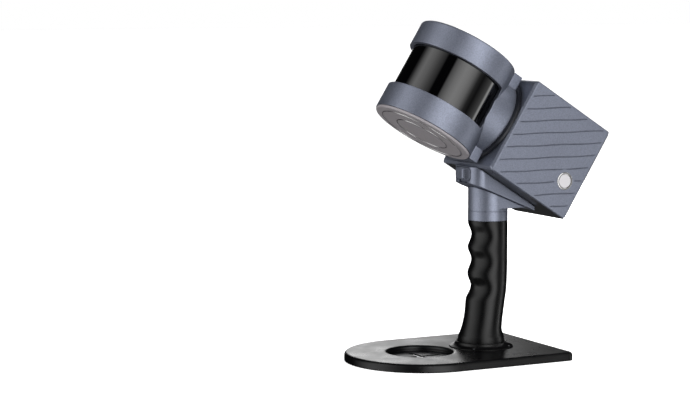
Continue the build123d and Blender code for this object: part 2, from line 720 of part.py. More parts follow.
with BuildPart() as port_door_pin:
    with BuildSketch(side_plane(0)):
        with Locations((body_length - hinge_in, hinge_level)):
            Circle(pin_radius)
    extrude(amount=port_width / 2 + 1.6, both=True)

panel_face = rear_face + door_depth
with BuildPart() as port_panel:
    with BuildSketch(head_plane(panel_face + 0.4)):
        with Locations((0, port_level + hinge_band / 2)):
            RectangleRounded(port_width - 4.0 - 2 * seat, port_height - hinge_band - 3.0 - 2 * seat, 1.2)
    extrude(amount=rear_plate - door_depth + panel_depth)
    with BuildSketch(head_plane(rear_face + rear_plate + seat)):
        with Locations((0, port_level + hinge_band / 2)):
            Rectangle(port_width + 1, port_height - 3)
    extrude(amount=1.6)
    with BuildSketch(head_plane(panel_face)):
        with Locations((-port_spread, port_level + hinge_band / 2)):
            RectangleRounded(9.0 + 2 * seat, 3.3 + 2 * seat, 1.6)
        with Locations((port_spread, port_level + hinge_band / 2)):
            Circle(socket_radius + seat)
    extrude(amount=40, mode=Mode.SUBTRACT)

with BuildPart() as usb_socket:
    with BuildSketch(head_plane(panel_face + 0.4)):
        with Locations((-port_spread, port_level + hinge_band / 2)):
            RectangleRounded(9.0, 3.3, 1.6)
            RectangleRounded(8.3, 2.6, 1.25, mode=Mode.SUBTRACT)
    extrude(amount=9.0)
    with BuildSketch(head_plane(panel_face + 7.4)):
        with Locations((-port_spread, port_level + hinge_band / 2)):
            RectangleRounded(8.6, 2.9, 1.4)
    extrude(amount=1.6)
    with BuildSketch(head_plane(panel_face + 1.2)):
        with Locations((-port_spread, port_level + hinge_band / 2)):
            Rectangle(6.4, 0.7)
    extrude(amount=7.0)

with BuildPart() as power_socket:
    with BuildSketch(head_plane(panel_face + 0.4)):
        with Locations((port_spread, port_level + hinge_band / 2)):
            Circle(socket_radius)
            Circle(socket_radius - 0.8, mode=Mode.SUBTRACT)
    extrude(amount=9.0)
    with BuildSketch(head_plane(panel_face + 7.4)):
        with Locations((port_spread, port_level + hinge_band / 2)):
            Circle(socket_radius - 0.4)
    extrude(amount=1.6)
    with BuildSketch(head_plane(panel_face + 2.4)):
        with Locations((port_spread, port_level + hinge_band / 2)):
            Circle(0.8)
    extrude(amount=6.0)

# ---------------------------------------------------------------- power button
with BuildPart() as power_button_bezel:
    with BuildSketch(side_plane(half_width)):
        with Locations((button_back, -button_drop)):
            Circle(bezel_radius)
    extrude(amount=bezel_proud)
    fillet(power_button_bezel.faces().sort_by(Axis.Y)[0].edges(), bezel_proud * 0.6)
    with BuildSketch(side_plane(half_width)):
        with Locations((button_back, -button_drop)):
            Circle(barrel_radius)
    extrude(amount=-barrel_length)
    with BuildSketch(side_plane(half_width + bezel_proud)):
        with Locations((button_back, -button_drop)):
            Circle(button_radius + gap)
    extrude(amount=-bezel_proud - button_well, mode=Mode.SUBTRACT)
    with BuildSketch(side_plane(half_width - button_well)):
        with Locations((button_back, -button_drop)):
            Circle(switch_radius + seat)
    extrude(amount=-barrel_length, mode=Mode.SUBTRACT)

with BuildPart() as power_button_nut:
    with BuildSketch(side_plane(half_width - body_wall)):
        with Locations((button_back, -button_drop)):
            RegularPolygon(barrel_radius + nut_wall, 6)
            Circle(barrel_radius + seat, mode=Mode.SUBTRACT)
    extrude(amount=-nut_thickness)

spring_room = button_well + bezel_proud - button_sunk - button_cap
with BuildPart() as power_button:
    with BuildSketch(side_plane(half_width + bezel_proud - button_sunk)):
        with Locations((button_back, -button_drop)):
            Circle(button_radius)
    extrude(amount=-button_cap)
    fillet(power_button.faces().sort_by(Axis.Y)[0].edges(), 0.5)
    with BuildSketch(side_plane(half_width + bezel_proud - button_sunk - button_cap)):
        with Locations((button_back, -button_drop)):
            Circle(plunger_radius)
    extrude(amount=-(spring_room - button_travel - gap))

with BuildPart() as power_switch:
    with BuildSketch(side_plane(half_width - button_well)):
        with Locations((button_back, -button_drop)):
            Circle(switch_radius)
    extrude(amount=-(barrel_length - button_well) - 2.5)

button_seat = side_plane(half_width - button_well).origin - head_axis * button_back - body_up * button_drop
power_button_spring = coil_spring(Plane(origin=button_seat, x_dir=-head_axis, z_dir=(0, -1, 0)),
                                  3.6, 0.6, 3, spring_room)

# ---------------------------------------------------------------- electronics inside the body
inner_floor = cover_plate - half_height
board_points = [(a, s * (board_width / 2 - 4)) for a in (-board_front - 4, -board_back + 4) for s in (-1, 1)]
with BuildPart() as main_board:
    with BuildSketch(deck_plane(inner_floor + standoff, -board_front)):
        Rectangle(board_back - board_front, board_width, align=(Align.MAX, Align.CENTER))
    extrude(amount=board_thickness)
    with BuildSketch(deck_plane(inner_floor + standoff)):
        with Locations(*board_points):
            Circle(1.2)
    extrude(amount=board_thickness, mode=Mode.SUBTRACT)

with BuildPart() as board_standoffs:
    with BuildSketch(deck_plane(inner_floor)):
        with Locations(*board_points):
            RegularPolygon(2.8, 6)
    extrude(amount=standoff)

board_top = inner_floor + standoff + board_thickness
with BuildPart() as processor:
    with BuildSketch(deck_plane(board_top, -chip_back)):
        Rectangle(18, 18)
    extrude(amount=chip_height)

with BuildPart() as heat_sink:
    with BuildSketch(deck_plane(board_top + chip_height, -chip_back)):
        Rectangle(20, 40)
    extrude(amount=3.0)
    with BuildSketch(deck_plane(board_top + chip_height + 3.0, -chip_back)):
        with GridLocations(0, 4.5, 1, 9):
            Rectangle(20, 1.2)
    extrude(amount=10.0)

with BuildPart() as storage_module:
    with BuildSketch(deck_plane(board_top, -board_front - 22)):
        with Locations((0, -20)):
            Rectangle(38, 22)
    extrude(amount=2.6)

with BuildPart() as imu_module:
    with BuildSketch(deck_plane(inside_height, -chip_back)):
        Rectangle(22, 22)
    extrude(amount=-8.0)

# ---------------------------------------------------------------- spin drive in the body
with BuildPart() as drive_housing:
    with BuildSketch(profile_plane()):
        with BuildLine():
            web = motor_start - 2.0
            Polyline((bearing_radius, -front_wall), (flange_radius, -front_wall), (flange_radius, -front_wall - 4),
                     (bearing_radius + 4.5, -front_wall - 4), (bearing_radius + 4.5, -web + 3.0),
                     (housing_radius, -web + 3.0), (housing_radius, -housing_end),
                     (housing_radius - housing_wall, -housing_end), (housing_radius - housing_wall, -web),
                     (bearing_radius, -web), (bearing_radius, -rear_bearing), (bearing_radius - 2.5, -rear_bearing),
                     (bearing_radius - 2.5, -front_wall - bearing_width),
                     (bearing_radius, -front_wall - bearing_width), close=True)
        make_face()
    revolve(axis=Axis(front_centre, head_axis))
    with BuildSketch(head_plane(-front_wall - 4)):
        with PolarLocations(housing_screw_circle, 4, start_angle=45):
            Circle(1.5 + running)
    extrude(amount=4, mode=Mode.SUBTRACT)

drive_housing_screws = screw_group(
    Plane(origin=head_plane(-front_wall - 4).origin, x_dir=(0, -1, 0), z_dir=-head_axis),
    square_points(housing_screw_circle), 5.4, 3.0, 4 + front_wall - 1.2, 2.6)

with BuildPart() as drive_bearings:
    for start in (-front_wall, -rear_bearing):
        with BuildSketch(head_plane(start)):
            Circle(bearing_radius - seat)
            Circle(shaft_radius + running, mode=Mode.SUBTRACT)
        extrude(amount=-bearing_width)

with BuildPart() as drive_stator:
    with BuildSketch(head_plane(-motor_start)):
        Circle(housing_radius - housing_wall - seat)
        Circle(motor_radius + gap, mode=Mode.SUBTRACT)
        with PolarLocations(motor_radius + gap, 12):
            RectangleRounded(5.0, 3.4, 1.0, mode=Mode.SUBTRACT)
    extrude(amount=-motor_length)

with BuildPart() as drive_rotor:
    with BuildSketch(head_plane(-motor_start)):
        Circle(motor_radius)
        Circle(shaft_radius + seat, mode=Mode.SUBTRACT)
        with PolarLocations(17.0, 8):
            Circle(3.0, mode=Mode.SUBTRACT)
    extrude(amount=-motor_length)

with BuildPart() as encoder_disc:
    with BuildSketch(head_plane(-motor_start - motor_length - 1.5)):
        Circle(20.0)
        Circle(shaft_radius + seat, mode=Mode.SUBTRACT)
    extrude(amount=-1.0)

with BuildPart() as slip_ring_body:
    with BuildSketch(head_plane(-housing_end)):
        Circle(housing_radius)
    extrude(amount=-2.5)
    with BuildSketch(head_plane(-housing_end)):
        Circle(11.0)
    extrude(amount=-20.0)
    with BuildSketch(head_plane(-housing_end)):
        Circle(shaft_bore - seat + gap)
    extrude(amount=-17.0, mode=Mode.SUBTRACT)

with BuildPart() as slip_ring_rotor:
    with BuildSketch(head_plane(-housing_end - 16.0)):
        Circle(shaft_bore - seat)
        Circle(3.0, mode=Mode.SUBTRACT)
    extrude(amount=30.0)

# ---------------------------------------------------------------- turntable and yoke
table_front = table_gap + table_thickness
table_points = [(s * table_screw_side, v) for s in (-1, 1) for v in (-table_screw_rise, 0, table_screw_rise)]
with BuildPart() as turntable:
    with BuildSketch(head_plane(table_gap)):
        Circle(table_radius)
    extrude(amount=table_thickness)
    chamfer(turntable.edges().filter_by(GeomType.CIRCLE), 0.4)
    with BuildSketch(head_plane(table_gap)):
        Circle(shaft_radius)
    extrude(amount=-shaft_length)
    with BuildSketch(head_plane(table_front)):
        Circle(shaft_bore)
    extrude(amount=-table_thickness - shaft_length, mode=Mode.SUBTRACT)
    with BuildSketch(head_plane(table_gap)):
        with Locations(*table_points):
            Circle(2.7 + 0.2)
    extrude(amount=table_screw_sink, mode=Mode.SUBTRACT)
    with BuildSketch(head_plane(table_gap)):
        with Locations(*table_points):
            Circle(1.5 + running)
    extrude(amount=table_thickness, mode=Mode.SUBTRACT)

turntable_screws = screw_group(
    Plane(origin=head_plane(table_gap + table_screw_sink).origin, x_dir=(0, -1, 0), z_dir=-head_axis),
    table_points, 5.4, 3.0, table_screw_reach, table_screw_sink - 0.2)

with BuildPart() as head_yoke:
    with BuildSketch(head_plane(table_front)):
        Circle(drum_radius)
        with Locations((0, block_top)):
            Rectangle(2 * block_half_width, block_top, align=(Align.CENTER, Align.MAX))
        with Locations((0, -block_low)):
            Rectangle(2 * block_half_width, block_low, align=(Align.CENTER, Align.MIN))
    extrude(amount=drum_reach - table_front)
    with BuildSketch(sensor_plane(-head_height)):
        Circle(head_radius + seat)
    extrude(amount=2 * head_height, mode=Mode.SUBTRACT)
    with BuildSketch(head_plane(table_front)):
        Circle(shaft_bore)
        with Locations(*table_points):
            Circle(1.5 + running)
    extrude(amount=head_reach, mode=Mode.SUBTRACT)

# ---------------------------------------------------------------- sensor head
cover_top = -half_head + cover_depth
case_low = cover_top + cover_seam
opening_low, opening_high = -half_head + band_height, half_head - cap_height
with BuildPart() as sensor_case:
    with BuildSketch(sensor_plane(case_low)):
        Circle(head_radius)
    extrude(amount=half_head - case_low)
    fillet(sensor_case.faces().sort_by(Axis((0, 0, 0), body_up))[-1].edges(), head_edge)
    with BuildSketch(sensor_plane(case_low)):
        Circle(window_radius + 0.2)
    extrude(amount=opening_high + cavity_step - case_low, mode=Mode.SUBTRACT)
    with BuildSketch(sensor_plane(case_low)):
        Circle(window_radius - window_wall)
    extrude(amount=half_head - cap_wall - case_low, mode=Mode.SUBTRACT)
    with BuildSketch(Plane(origin=sensor_centre, x_dir=-head_axis, z_dir=(0, -1, 0))) as opening:
        with Locations((opening_back, (opening_low + opening_high) / 2)):
            Rectangle(2 * head_radius, opening_high - opening_low, align=(Align.MAX, Align.CENTER))
        fillet(opening.vertices().sort_by(Axis((0, 0, 0), -head_axis))[-2:], opening_corner)
    extrude(amount=head_radius + 5, both=True, mode=Mode.SUBTRACT)
    with BuildSketch(head_plane(0)):
        Circle(shaft_bore)
        with Locations(*table_points):
            Circle(1.5 + seat)
    extrude(amount=head_reach - 30.0, mode=Mode.SUBTRACT)

with BuildPart() as sensor_window:
    with BuildSketch(sensor_plane(opening_low - window_foot)):
        Circle(window_radius)
        Circle(window_radius - window_wall, mode=Mode.SUBTRACT)
    extrude(amount=opening_high + cavity_step - opening_low + window_foot)

with BuildPart() as sensor_base:
    with BuildSketch(sensor_plane(case_low)):
        Circle(window_radius + 0.1)
    extrude(amount=opening_low - window_foot - case_low)
    with BuildSketch(sensor_plane(case_low + cup_floor)):
        Circle(window_radius - cup_wall)
    extrude(amount=40, mode=Mode.SUBTRACT)
    with BuildSketch(sensor_plane(case_low + cup_floor)):
        Circle(spindle_radius)
    extrude(amount=spindle_top - case_low - cup_floor)
    with BuildSketch(head_plane(0)):
        Circle(shaft_bore - 1.5)
    extrude(amount=head_reach - 30.0, mode=Mode.SUBTRACT)

with BuildPart() as head_bottom_cover:
    with BuildSketch(sensor_plane(-half_head)):
        Circle(cover_radius)
    extrude(amount=cover_depth)
    fillet(head_bottom_cover.edges().filter_by(GeomType.CIRCLE).sort_by(Axis((0, 0, 0), body_up))[0], 1.8)
    with BuildSketch(sensor_plane(-half_head)):
        for ring in cover_rings:
            Circle(ring)
            Circle(ring - cover_ring_width, mode=Mode.SUBTRACT)
    extrude(amount=cover_ring_depth, mode=Mode.SUBTRACT)
    with BuildSketch(sensor_plane(cover_top)):
        Circle(window_radius)
    extrude(amount=cover_seam)

with BuildPart() as sensor_bearings:
    for level in (platform_level + platform_thickness + 2.0, hub_top - 7.0):
        with BuildSketch(sensor_plane(level)):
            Circle(sensor_bearing_radius)
            Circle(spindle_radius + seat, mode=Mode.SUBTRACT)
        extrude(amount=5.0)

with BuildPart() as sensor_stator:
    with BuildSketch(sensor_plane(case_low + cup_floor)):
        Circle(stator_radius)
        Circle(spindle_radius + seat, mode=Mode.SUBTRACT)
        with PolarLocations(stator_radius, 9):
            RectangleRounded(8.0, 3.0, 0.8, mode=Mode.SUBTRACT)
    extrude(amount=platform_level - case_low - cup_floor - 2.0)

# ---------------------------------------------------------------- spinning optics
with BuildPart() as rotor_platform:
    with BuildSketch(sensor_plane(platform_level)):
        Circle(platform_radius)
    extrude(amount=platform_thickness)
    with BuildSketch(sensor_plane(platform_level)):
        Circle(hub_radius)
    extrude(amount=hub_top - platform_level)
    with BuildSketch(sensor_plane(platform_level)):
        Circle(sensor_bearing_radius + running)
    extrude(amount=hub_top - platform_level, mode=Mode.SUBTRACT)

with BuildPart() as rotor_magnets:
    with BuildSketch(sensor_plane(platform_level)):
        Circle(magnet_radius)
        Circle(stator_radius + gap, mode=Mode.SUBTRACT)
    extrude(amount=-12.0)

platform_top = platform_level + platform_thickness
with BuildPart() as optics_frame:
    with BuildSketch(sensor_plane(platform_top)):
        with Locations(((optics_front + optics_back) / 2, 0)):
            Rectangle(optics_front - optics_back, 2 * optics_half)
    extrude(amount=2 * optics_half * 0.75)
    lens_level = platform_top + optics_half * 0.75
    lens_face = Plane(origin=sensor_centre + head_axis * optics_front + body_up * lens_level,
                      x_dir=(0, -1, 0), z_dir=head_axis)
    with BuildSketch(lens_face):
        with GridLocations(2 * lens_spread, 0, 2, 1):
            Circle(lens_radius + seat)
    extrude(amount=-5.0, mode=Mode.SUBTRACT)
    with BuildSketch(lens_face):
        with GridLocations(2 * lens_spread, 0, 2, 1):
            Circle(lens_radius - 1.4)
    extrude(amount=-(optics_front - optics_back), mode=Mode.SUBTRACT)

with BuildPart() as rotor_lenses:
    with BuildSketch(lens_face.offset(-5.0)):
        with GridLocations(2 * lens_spread, 0, 2, 1):
            Circle(lens_radius)
    extrude(amount=4.0)
    fillet(rotor_lenses.edges().filter_by(GeomType.CIRCLE).sort_by(Axis((0, 0, 0), head_axis))[-2:], 1.6)

with BuildPart() as rotor_boards:
    with BuildSketch(sensor_plane(platform_top)):
        with GridLocations(0, 2 * (hub_radius + 3.8), 1, 2):
            Rectangle(2 * hub_radius, 1.6)
    extrude(amount=34.0)

with BuildPart() as rotor_counterweight:
    with BuildSketch(sensor_plane(platform_top)):
        Circle(platform_radius - 2)
        Circle(platform_radius - 11, mode=Mode.SUBTRACT)
        with Locations((-optics_back, 0)):
            Rectangle(2 * platform_radius, 2 * platform_radius, align=(Align.MIN, Align.CENTER),
                      mode=Mode.SUBTRACT)
    extrude(amount=12.0)

# ---------------------------------------------------------------- export
os.makedirs("parts", exist_ok=True)
pieces = {name: piece for name, piece in list(globals().items())
          if isinstance(piece, BuildPart)}
for name, piece in pieces.items():
    piece.part.label = name
    export_step(piece.part, f"parts/{name}.step")
print(len(pieces), "pieces")
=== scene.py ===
"""Hand-held laser scanner on a ground-mark base: its looks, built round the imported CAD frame.

The CAD pieces keep their shapes and get finishes. The moulded grip and the screws that show are
built here and stand for their CAD nodes, and two bright bands are laid in the head's cover.
Lengths are metres unless a name or a comment says millimetres.
"""
import json
import logging
import math
from dataclasses import dataclass
from enum import Enum
from typing import Any, Optional, Sequence

import bmesh
import bpy
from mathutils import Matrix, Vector


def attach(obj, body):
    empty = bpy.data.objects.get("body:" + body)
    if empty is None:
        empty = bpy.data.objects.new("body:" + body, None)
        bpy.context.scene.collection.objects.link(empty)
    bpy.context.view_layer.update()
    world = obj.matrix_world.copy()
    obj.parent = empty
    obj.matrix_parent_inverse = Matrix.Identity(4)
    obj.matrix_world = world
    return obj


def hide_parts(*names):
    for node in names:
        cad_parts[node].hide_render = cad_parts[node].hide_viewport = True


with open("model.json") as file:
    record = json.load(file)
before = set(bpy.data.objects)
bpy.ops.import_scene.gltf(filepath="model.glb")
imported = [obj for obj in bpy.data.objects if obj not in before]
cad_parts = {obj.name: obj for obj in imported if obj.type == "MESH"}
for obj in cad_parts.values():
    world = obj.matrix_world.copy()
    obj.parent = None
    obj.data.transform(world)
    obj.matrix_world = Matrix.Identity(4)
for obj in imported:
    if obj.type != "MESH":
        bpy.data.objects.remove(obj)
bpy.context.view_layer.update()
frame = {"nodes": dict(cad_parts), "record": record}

LOG = logging.getLogger("scanner")

MM = 0.001
METRE = 1000.0  # in millimetres
TILT = math.radians(32.25)  # the turntable's axis above the horizontal
HEAD_AXIS = Vector((-math.cos(TILT), 0.0, math.sin(TILT)))
BODY_UP = Vector((math.sin(TILT), 0.0, math.cos(TILT)))
BODY_FRONT = Vector((0.0006, 0.0, 0.2399))  # centre of the body's front face
WELD = 0.00001  # points closer than this are one point

MATH = "ShaderNodeMath"
VECTOR_MATH = "ShaderNodeVectorMath"
MIX = "ShaderNodeMix"
MAP_RANGE = "ShaderNodeMapRange"
NOISE = "ShaderNodeTexNoise"
FLOAT = "NodeSocketFloat"
VECTOR = "NodeSocketVector"
ROTATION = "NodeSocketRotation"
NOISE_LOW, NOISE_HIGH = 0.3, 0.7  # a noise texture's values lie mostly between these
CLOUD_DETAIL, CLOUD_ROUGHNESS = 4.0, 0.6  # octaves of the slow drift, and their fall
FLAKE_DETAIL, GRAIN_DETAIL = 1.0, 2.0
WAVE_TURN = 0.159  # scale of a wave texture that repeats once in a unit
WANDER = 0.6  # how far turned and hatched lines stray from even
BRUSH_STRETCH = 0.04  # a brushed line's width as a share of its length
LEAST_ROUGHNESS = 0.02
EDGE_RAYS = 6  # rays that look for an edge to soften


def linear(hex_colour: str) -> tuple[float, float, float, float]:
    """Turn an sRGB hex colour into linear light.

    Args:
        hex_colour: six hex digits.

    Returns:
        Linear red, green, blue and an alpha of one.
    """
    parts = [int(hex_colour[i : i + 2], 16) / 255 for i in (0, 2, 4)]
    red, green, blue = (c / 12.92 if c <= 0.04045 else ((c + 0.055) / 1.055) ** 2.4 for c in parts)
    return red, green, blue, 1.0


def add_node(
    tree: bpy.types.NodeTree,
    kind: str,
    sockets: Optional[dict[Any, Any]] = None,
    **settings: Any,
) -> bpy.types.Node:
    """Add a node, set its options, and fill or link its inputs.

    Args:
        tree: the node tree that takes the node.
        kind: the node's type name.
        sockets: input name or index, to a value, an output socket, a node whose first output is
            meant, or a list of nodes that are all linked to that input.
        **settings: the node's own properties.

    Returns:
        The new node.
    """
    node = tree.nodes.new(kind)
    for name, value in settings.items():
        setattr(node, name, value)
    for key, value in (sockets or {}).items():
        for source in value if isinstance(value, list) else [value]:
            if isinstance(source, bpy.types.Node):
                source = source.outputs[0]
            if isinstance(source, bpy.types.NodeSocket):
                tree.links.new(source, node.inputs[key])
            else:
                node.inputs[key].default_value = source
    return node


class Grain(Enum):
    """How a surface's fine relief is laid."""

    PEBBLED = "pebbled"
    BRUSHED = "brushed"
    TURNED = "turned"
    HATCHED = "hatched"
    SMOOTH = "smooth"


@dataclass(frozen=True)
class Finish:
    """A real finish, turned into a procedural material.

    Sizes are real millimetres. `grain_mm` is the width of one grain, line or ripple, and `speck`
    is how much single flakes differ in brightness. The colour drifts towards `tone`.
    """

    name: str
    colour: str
    tone: str
    roughness: float
    metallic: float = 0.0
    ior: Optional[float] = None
    specular: Optional[float] = None
    grain: Grain = Grain.PEBBLED
    grain_mm: float = 0.5
    relief: float = 0.1
    relief_mm: float = 0.02
    drift_mm: float = 30.0
    drift: float = 0.5
    roughness_drift: float = 0.06
    coat: float = 0.0
    coat_roughness: float = 0.1
    speck: float = 0.0
    speck_mm: float = 1.2
    edge_mm: float = 0.0
    axis: tuple[float, float, float] = (0.0, 0.0, 1.0)

    def build(self) -> bpy.types.Material:
        """Make the material.

        Returns:
            A material with node-made colour, roughness and relief.
        """
        material = bpy.data.materials.new(self.name)
        material.use_nodes = True
        tree = material.node_tree
        tree.nodes.clear()
        shader = add_node(
            tree,
            "ShaderNodeBsdfPrincipled",
            {"Metallic": self.metallic, "Coat Weight": self.coat, "Coat Roughness": self.coat_roughness},
        )
        if self.ior is not None:
            shader.inputs["IOR"].default_value = self.ior
        if self.specular is not None:
            shader.inputs["Specular IOR Level"].default_value = self.specular
        add_node(tree, "ShaderNodeOutputMaterial", {"Surface": shader})
        place = self._place(tree)
        self._colour(tree, shader, place)
        rounded = None
        if self.edge_mm:
            rounded = add_node(tree, "ShaderNodeBevel", {"Radius": self.edge_mm * MM}, samples=EDGE_RAYS)
            tree.links.new(rounded.outputs[0], shader.inputs["Normal"])
        if self.grain is not Grain.SMOOTH:
            self._relief(tree, shader, place, rounded)
        return material

    def _place(self, tree: bpy.types.NodeTree) -> bpy.types.Node:
        """Give the object's coordinates, turned so that local Z runs along the finish's axis."""
        coords = add_node(tree, "ShaderNodeTexCoord")
        turn = Vector(self.axis).to_track_quat("Z", "Y").to_matrix().inverted()
        return add_node(
            tree,
            "ShaderNodeMapping",
            {"Vector": coords.outputs["Object"], "Rotation": turn.to_euler("XYZ")},
        )

    def _colour(
        self, tree: bpy.types.NodeTree, shader: bpy.types.Node, place: bpy.types.Node
    ) -> None:
        """Drift the base colour and the roughness slowly over the surface.

        Args:
            tree: the material's tree.
            shader: the principled shader.
            place: the pattern's coordinates.
        """
        cloud = add_node(
            tree,
            NOISE,
            {
                "Vector": place,
                "Scale": METRE / self.drift_mm,
                "Detail": CLOUD_DETAIL,
                "Roughness": CLOUD_ROUGHNESS,
            },
        )
        share = add_node(
            tree, MAP_RANGE, {"Value": cloud, 1: NOISE_LOW, 2: NOISE_HIGH, 3: 0.0, 4: self.drift}
        )
        mix = add_node(
            tree,
            MIX,
            {0: share, 6: linear(self.colour), 7: linear(self.tone)},
            data_type="RGBA",
        )
        base = mix.outputs[2]
        if self.speck:
            flakes = add_node(
                tree,
                NOISE,
                {"Vector": place, "Scale": METRE / self.speck_mm, "Detail": FLAKE_DETAIL},
            )
            value = add_node(
                tree,
                MAP_RANGE,
                {"Value": flakes, 1: NOISE_LOW, 2: NOISE_HIGH, 3: 1 - self.speck, 4: 1 + self.speck},
            )
            base = add_node(tree, VECTOR_MATH, {0: base, "Scale": value}, operation="SCALE").outputs[0]
        tree.links.new(base, shader.inputs["Base Color"])
        dull = add_node(
            tree,
            MAP_RANGE,
            {
                "Value": cloud,
                1: NOISE_LOW,
                2: NOISE_HIGH,
                3: max(self.roughness - self.roughness_drift, LEAST_ROUGHNESS),
                4: self.roughness + self.roughness_drift,
            },
        )
        tree.links.new(dull.outputs[0], shader.inputs["Roughness"])

    def _relief(
        self,
        tree: bpy.types.NodeTree,
        shader: bpy.types.Node,
        place: bpy.types.Node,
        rounded: Optional[bpy.types.Node],
    ) -> None:
        """Add the fine relief of the finish as a bump.

        Args:
            tree: the material's tree.
            shader: the principled shader.
            place: the pattern's coordinates.
            rounded: the softened edge normal, where the finish has one.
        """
        if self.grain in (Grain.PEBBLED, Grain.BRUSHED):
            stretch = (1.0, 1.0, BRUSH_STRETCH if self.grain is Grain.BRUSHED else 1.0)
            spread = add_node(tree, VECTOR_MATH, {0: place, 1: stretch}, operation="MULTIPLY")
            height = add_node(
                tree,
                NOISE,
                {"Vector": spread, "Scale": METRE / self.grain_mm, "Detail": GRAIN_DETAIL},
            )
        else:
            rings = self.grain is Grain.TURNED
            height = add_node(
                tree,
                "ShaderNodeTexWave",
                {"Vector": place, "Scale": METRE / self.grain_mm * WAVE_TURN, "Distortion": WANDER},
                wave_type="RINGS" if rings else "BANDS",
                **({"rings_direction": "Z"} if rings else {"bands_direction": "Y"}),
            )
        bump = add_node(
            tree,
            "ShaderNodeBump",
            {"Strength": self.relief, "Distance": self.relief_mm * MM, "Height": height.outputs["Fac"]},
        )
        if rounded is not None:
            tree.links.new(rounded.outputs[0], bump.inputs["Normal"])
        tree.links.new(bump.outputs[0], shader.inputs["Normal"])


FINISHES: dict[str, Finish] = {
    # Metallic powder coat on cast aluminium, baked satin: soft broad highlights with a faint
    # sparkle. The flakes are finer than a tenth of a millimetre and are drawn coarser, to show.
    "shell_paint": Finish(
        "satin_blue_grey_powder_coat", "7C8190", "777C8A", 0.42,
        metallic=0.6, grain_mm=0.5, speck=0.12, speck_mm=1.2, edge_mm=1.2,
    ),
    # Soft-touch rubber moulded over the handle: nearly black, with a dull, narrow sheen.
    "black_rubber": Finish(
        "moulded_black_rubber", "070708", "0A0A0B", 0.3, specular=0.27, grain_mm=0.6, relief=0.2
    ),
    # Fine black powder coat on plate: black from above and a pale sheen at a low angle.
    "base_black": Finish(
        "fine_black_powder_coat", "070708", "0A0A0B", 0.3,
        specular=0.28, grain_mm=0.5, relief=0.03, edge_mm=2.6,
    ),
    # Polished infrared-pass plastic: black, with sharp mirrored lights.
    "window_black": Finish(
        "gloss_black_infrared_window", "030304", "040405", 0.05,
        ior=1.58, grain=Grain.SMOOTH, roughness_drift=0.01,
    ),
    # Moulded plastic with a ribbed texture: warm mid grey, almost without highlights.
    "cover_grey": Finish(
        "hatched_grey_moulded_cover", "A49FA3", "9C979B", 0.5,
        grain=Grain.HATCHED, grain_mm=0.9, axis=tuple(BODY_UP),
    ),
    # The same kind of coat as the shell in dark grey: the covers and the turntable fall back.
    "cover_dark": Finish(
        "satin_dark_grey_coat", "1E2026", "1B1D23", 0.4, metallic=0.3, edge_mm=0.5
    ),
    # Chrome plate, polished: mirrors the room as bright and black lines.
    "chrome_trim": Finish(
        "polished_chrome", "DADADA", "D0D0D0", 0.07,
        metallic=1.0, grain=Grain.SMOOTH, roughness_drift=0.02,
    ),
    # Blasted and anodised aluminium: a pale, even silver.
    "button_silver": Finish(
        "satin_silver_anodising", "E2E0E3", "DCDADD", 0.35,
        metallic=0.5, grain=Grain.BRUSHED, grain_mm=0.2,
    ),
    # Zinc plate on turned steel: small cool glints.
    "screw_steel": Finish(
        "zinc_plated_steel", "9A9DA2", "8C8F95", 0.28,
        metallic=1.0, grain=Grain.BRUSHED, grain_mm=0.2,
    ),
    # Drawn spring wire under a film of oil: darker steel with long glints.
    "spring_steel": Finish(
        "oiled_spring_wire", "7E7F82", "6C6D70", 0.3,
        metallic=1.0, grain=Grain.BRUSHED, grain_mm=0.1,
    ),
    # Bare aluminium from the mill: light grey with fine cutter lines.
    "raw_aluminium": Finish(
        "machined_aluminium", "B4B6B8", "A6A8AB", 0.32,
        metallic=1.0, grain=Grain.BRUSHED, grain_mm=0.3,
    ),
    # Ground and hardened steel: close to a mirror, with rings from the grinding.
    "bearing_steel": Finish(
        "ground_bearing_steel", "A9ABAE", "9B9DA0", 0.18,
        metallic=1.0, grain=Grain.TURNED, grain_mm=0.3,
    ),
    # Nickel plate on sintered magnet: a warm, slightly clouded grey.
    "magnet": Finish("nickel_plated_magnet", "8D8B86", "7F7D79", 0.3, metallic=1.0),
    # Enamelled copper wire in layers: orange lines under clear lacquer.
    "winding_copper": Finish(
        "enamelled_copper_wire", "B5643A", "8E4526", 0.3,
        metallic=1.0, grain=Grain.HATCHED, grain_mm=0.5, coat=0.6,
    ),
    # Glass-fibre board under green solder mask: deep green with a wet gloss.
    "board_green": Finish(
        "solder_masked_glass_fibre", "1F5A34", "18482A", 0.35, grain_mm=0.4, coat=0.3
    ),
    # Moulded epoxy of the chips: dull black with a fine pebble.
    "chip_black": Finish("moulded_chip_epoxy", "17181A", "1D1E20", 0.6, grain_mm=0.15),
    # Spark-eroded mould texture in black plastic: matt and even.
    "black_plastic": Finish(
        "spark_textured_black_plastic", "141415", "1A1A1B", 0.55, grain_mm=0.3
    ),
    # Shrunk plastic film round the cells: bright blue with soft wrinkles.
    "cell_wrap": Finish("blue_shrink_sleeve", "1F4E96", "1A447F", 0.3, grain_mm=1.5, coat=0.3),
    # Thin gold on turned brass: warm yellow rings.
    "contact_brass": Finish(
        "gold_plated_brass", "C9A24B", "B8923F", 0.25,
        metallic=1.0, grain=Grain.TURNED, grain_mm=0.3,
    ),
    # Coated glass over a dark barrel: near black, with a violet gleam.
    "lens_glass": Finish(
        "coated_lens_glass", "2A1030", "1A1038", 0.04,
        ior=1.52, grain=Grain.SMOOTH, roughness_drift=0.01, coat=1.0,
    ),
    # Moulded rubber of the port door: duller and greyer than the grip.
    "door_rubber": Finish("matt_moulded_rubber", "131314", "19191A", 0.6, grain_mm=0.4),
}


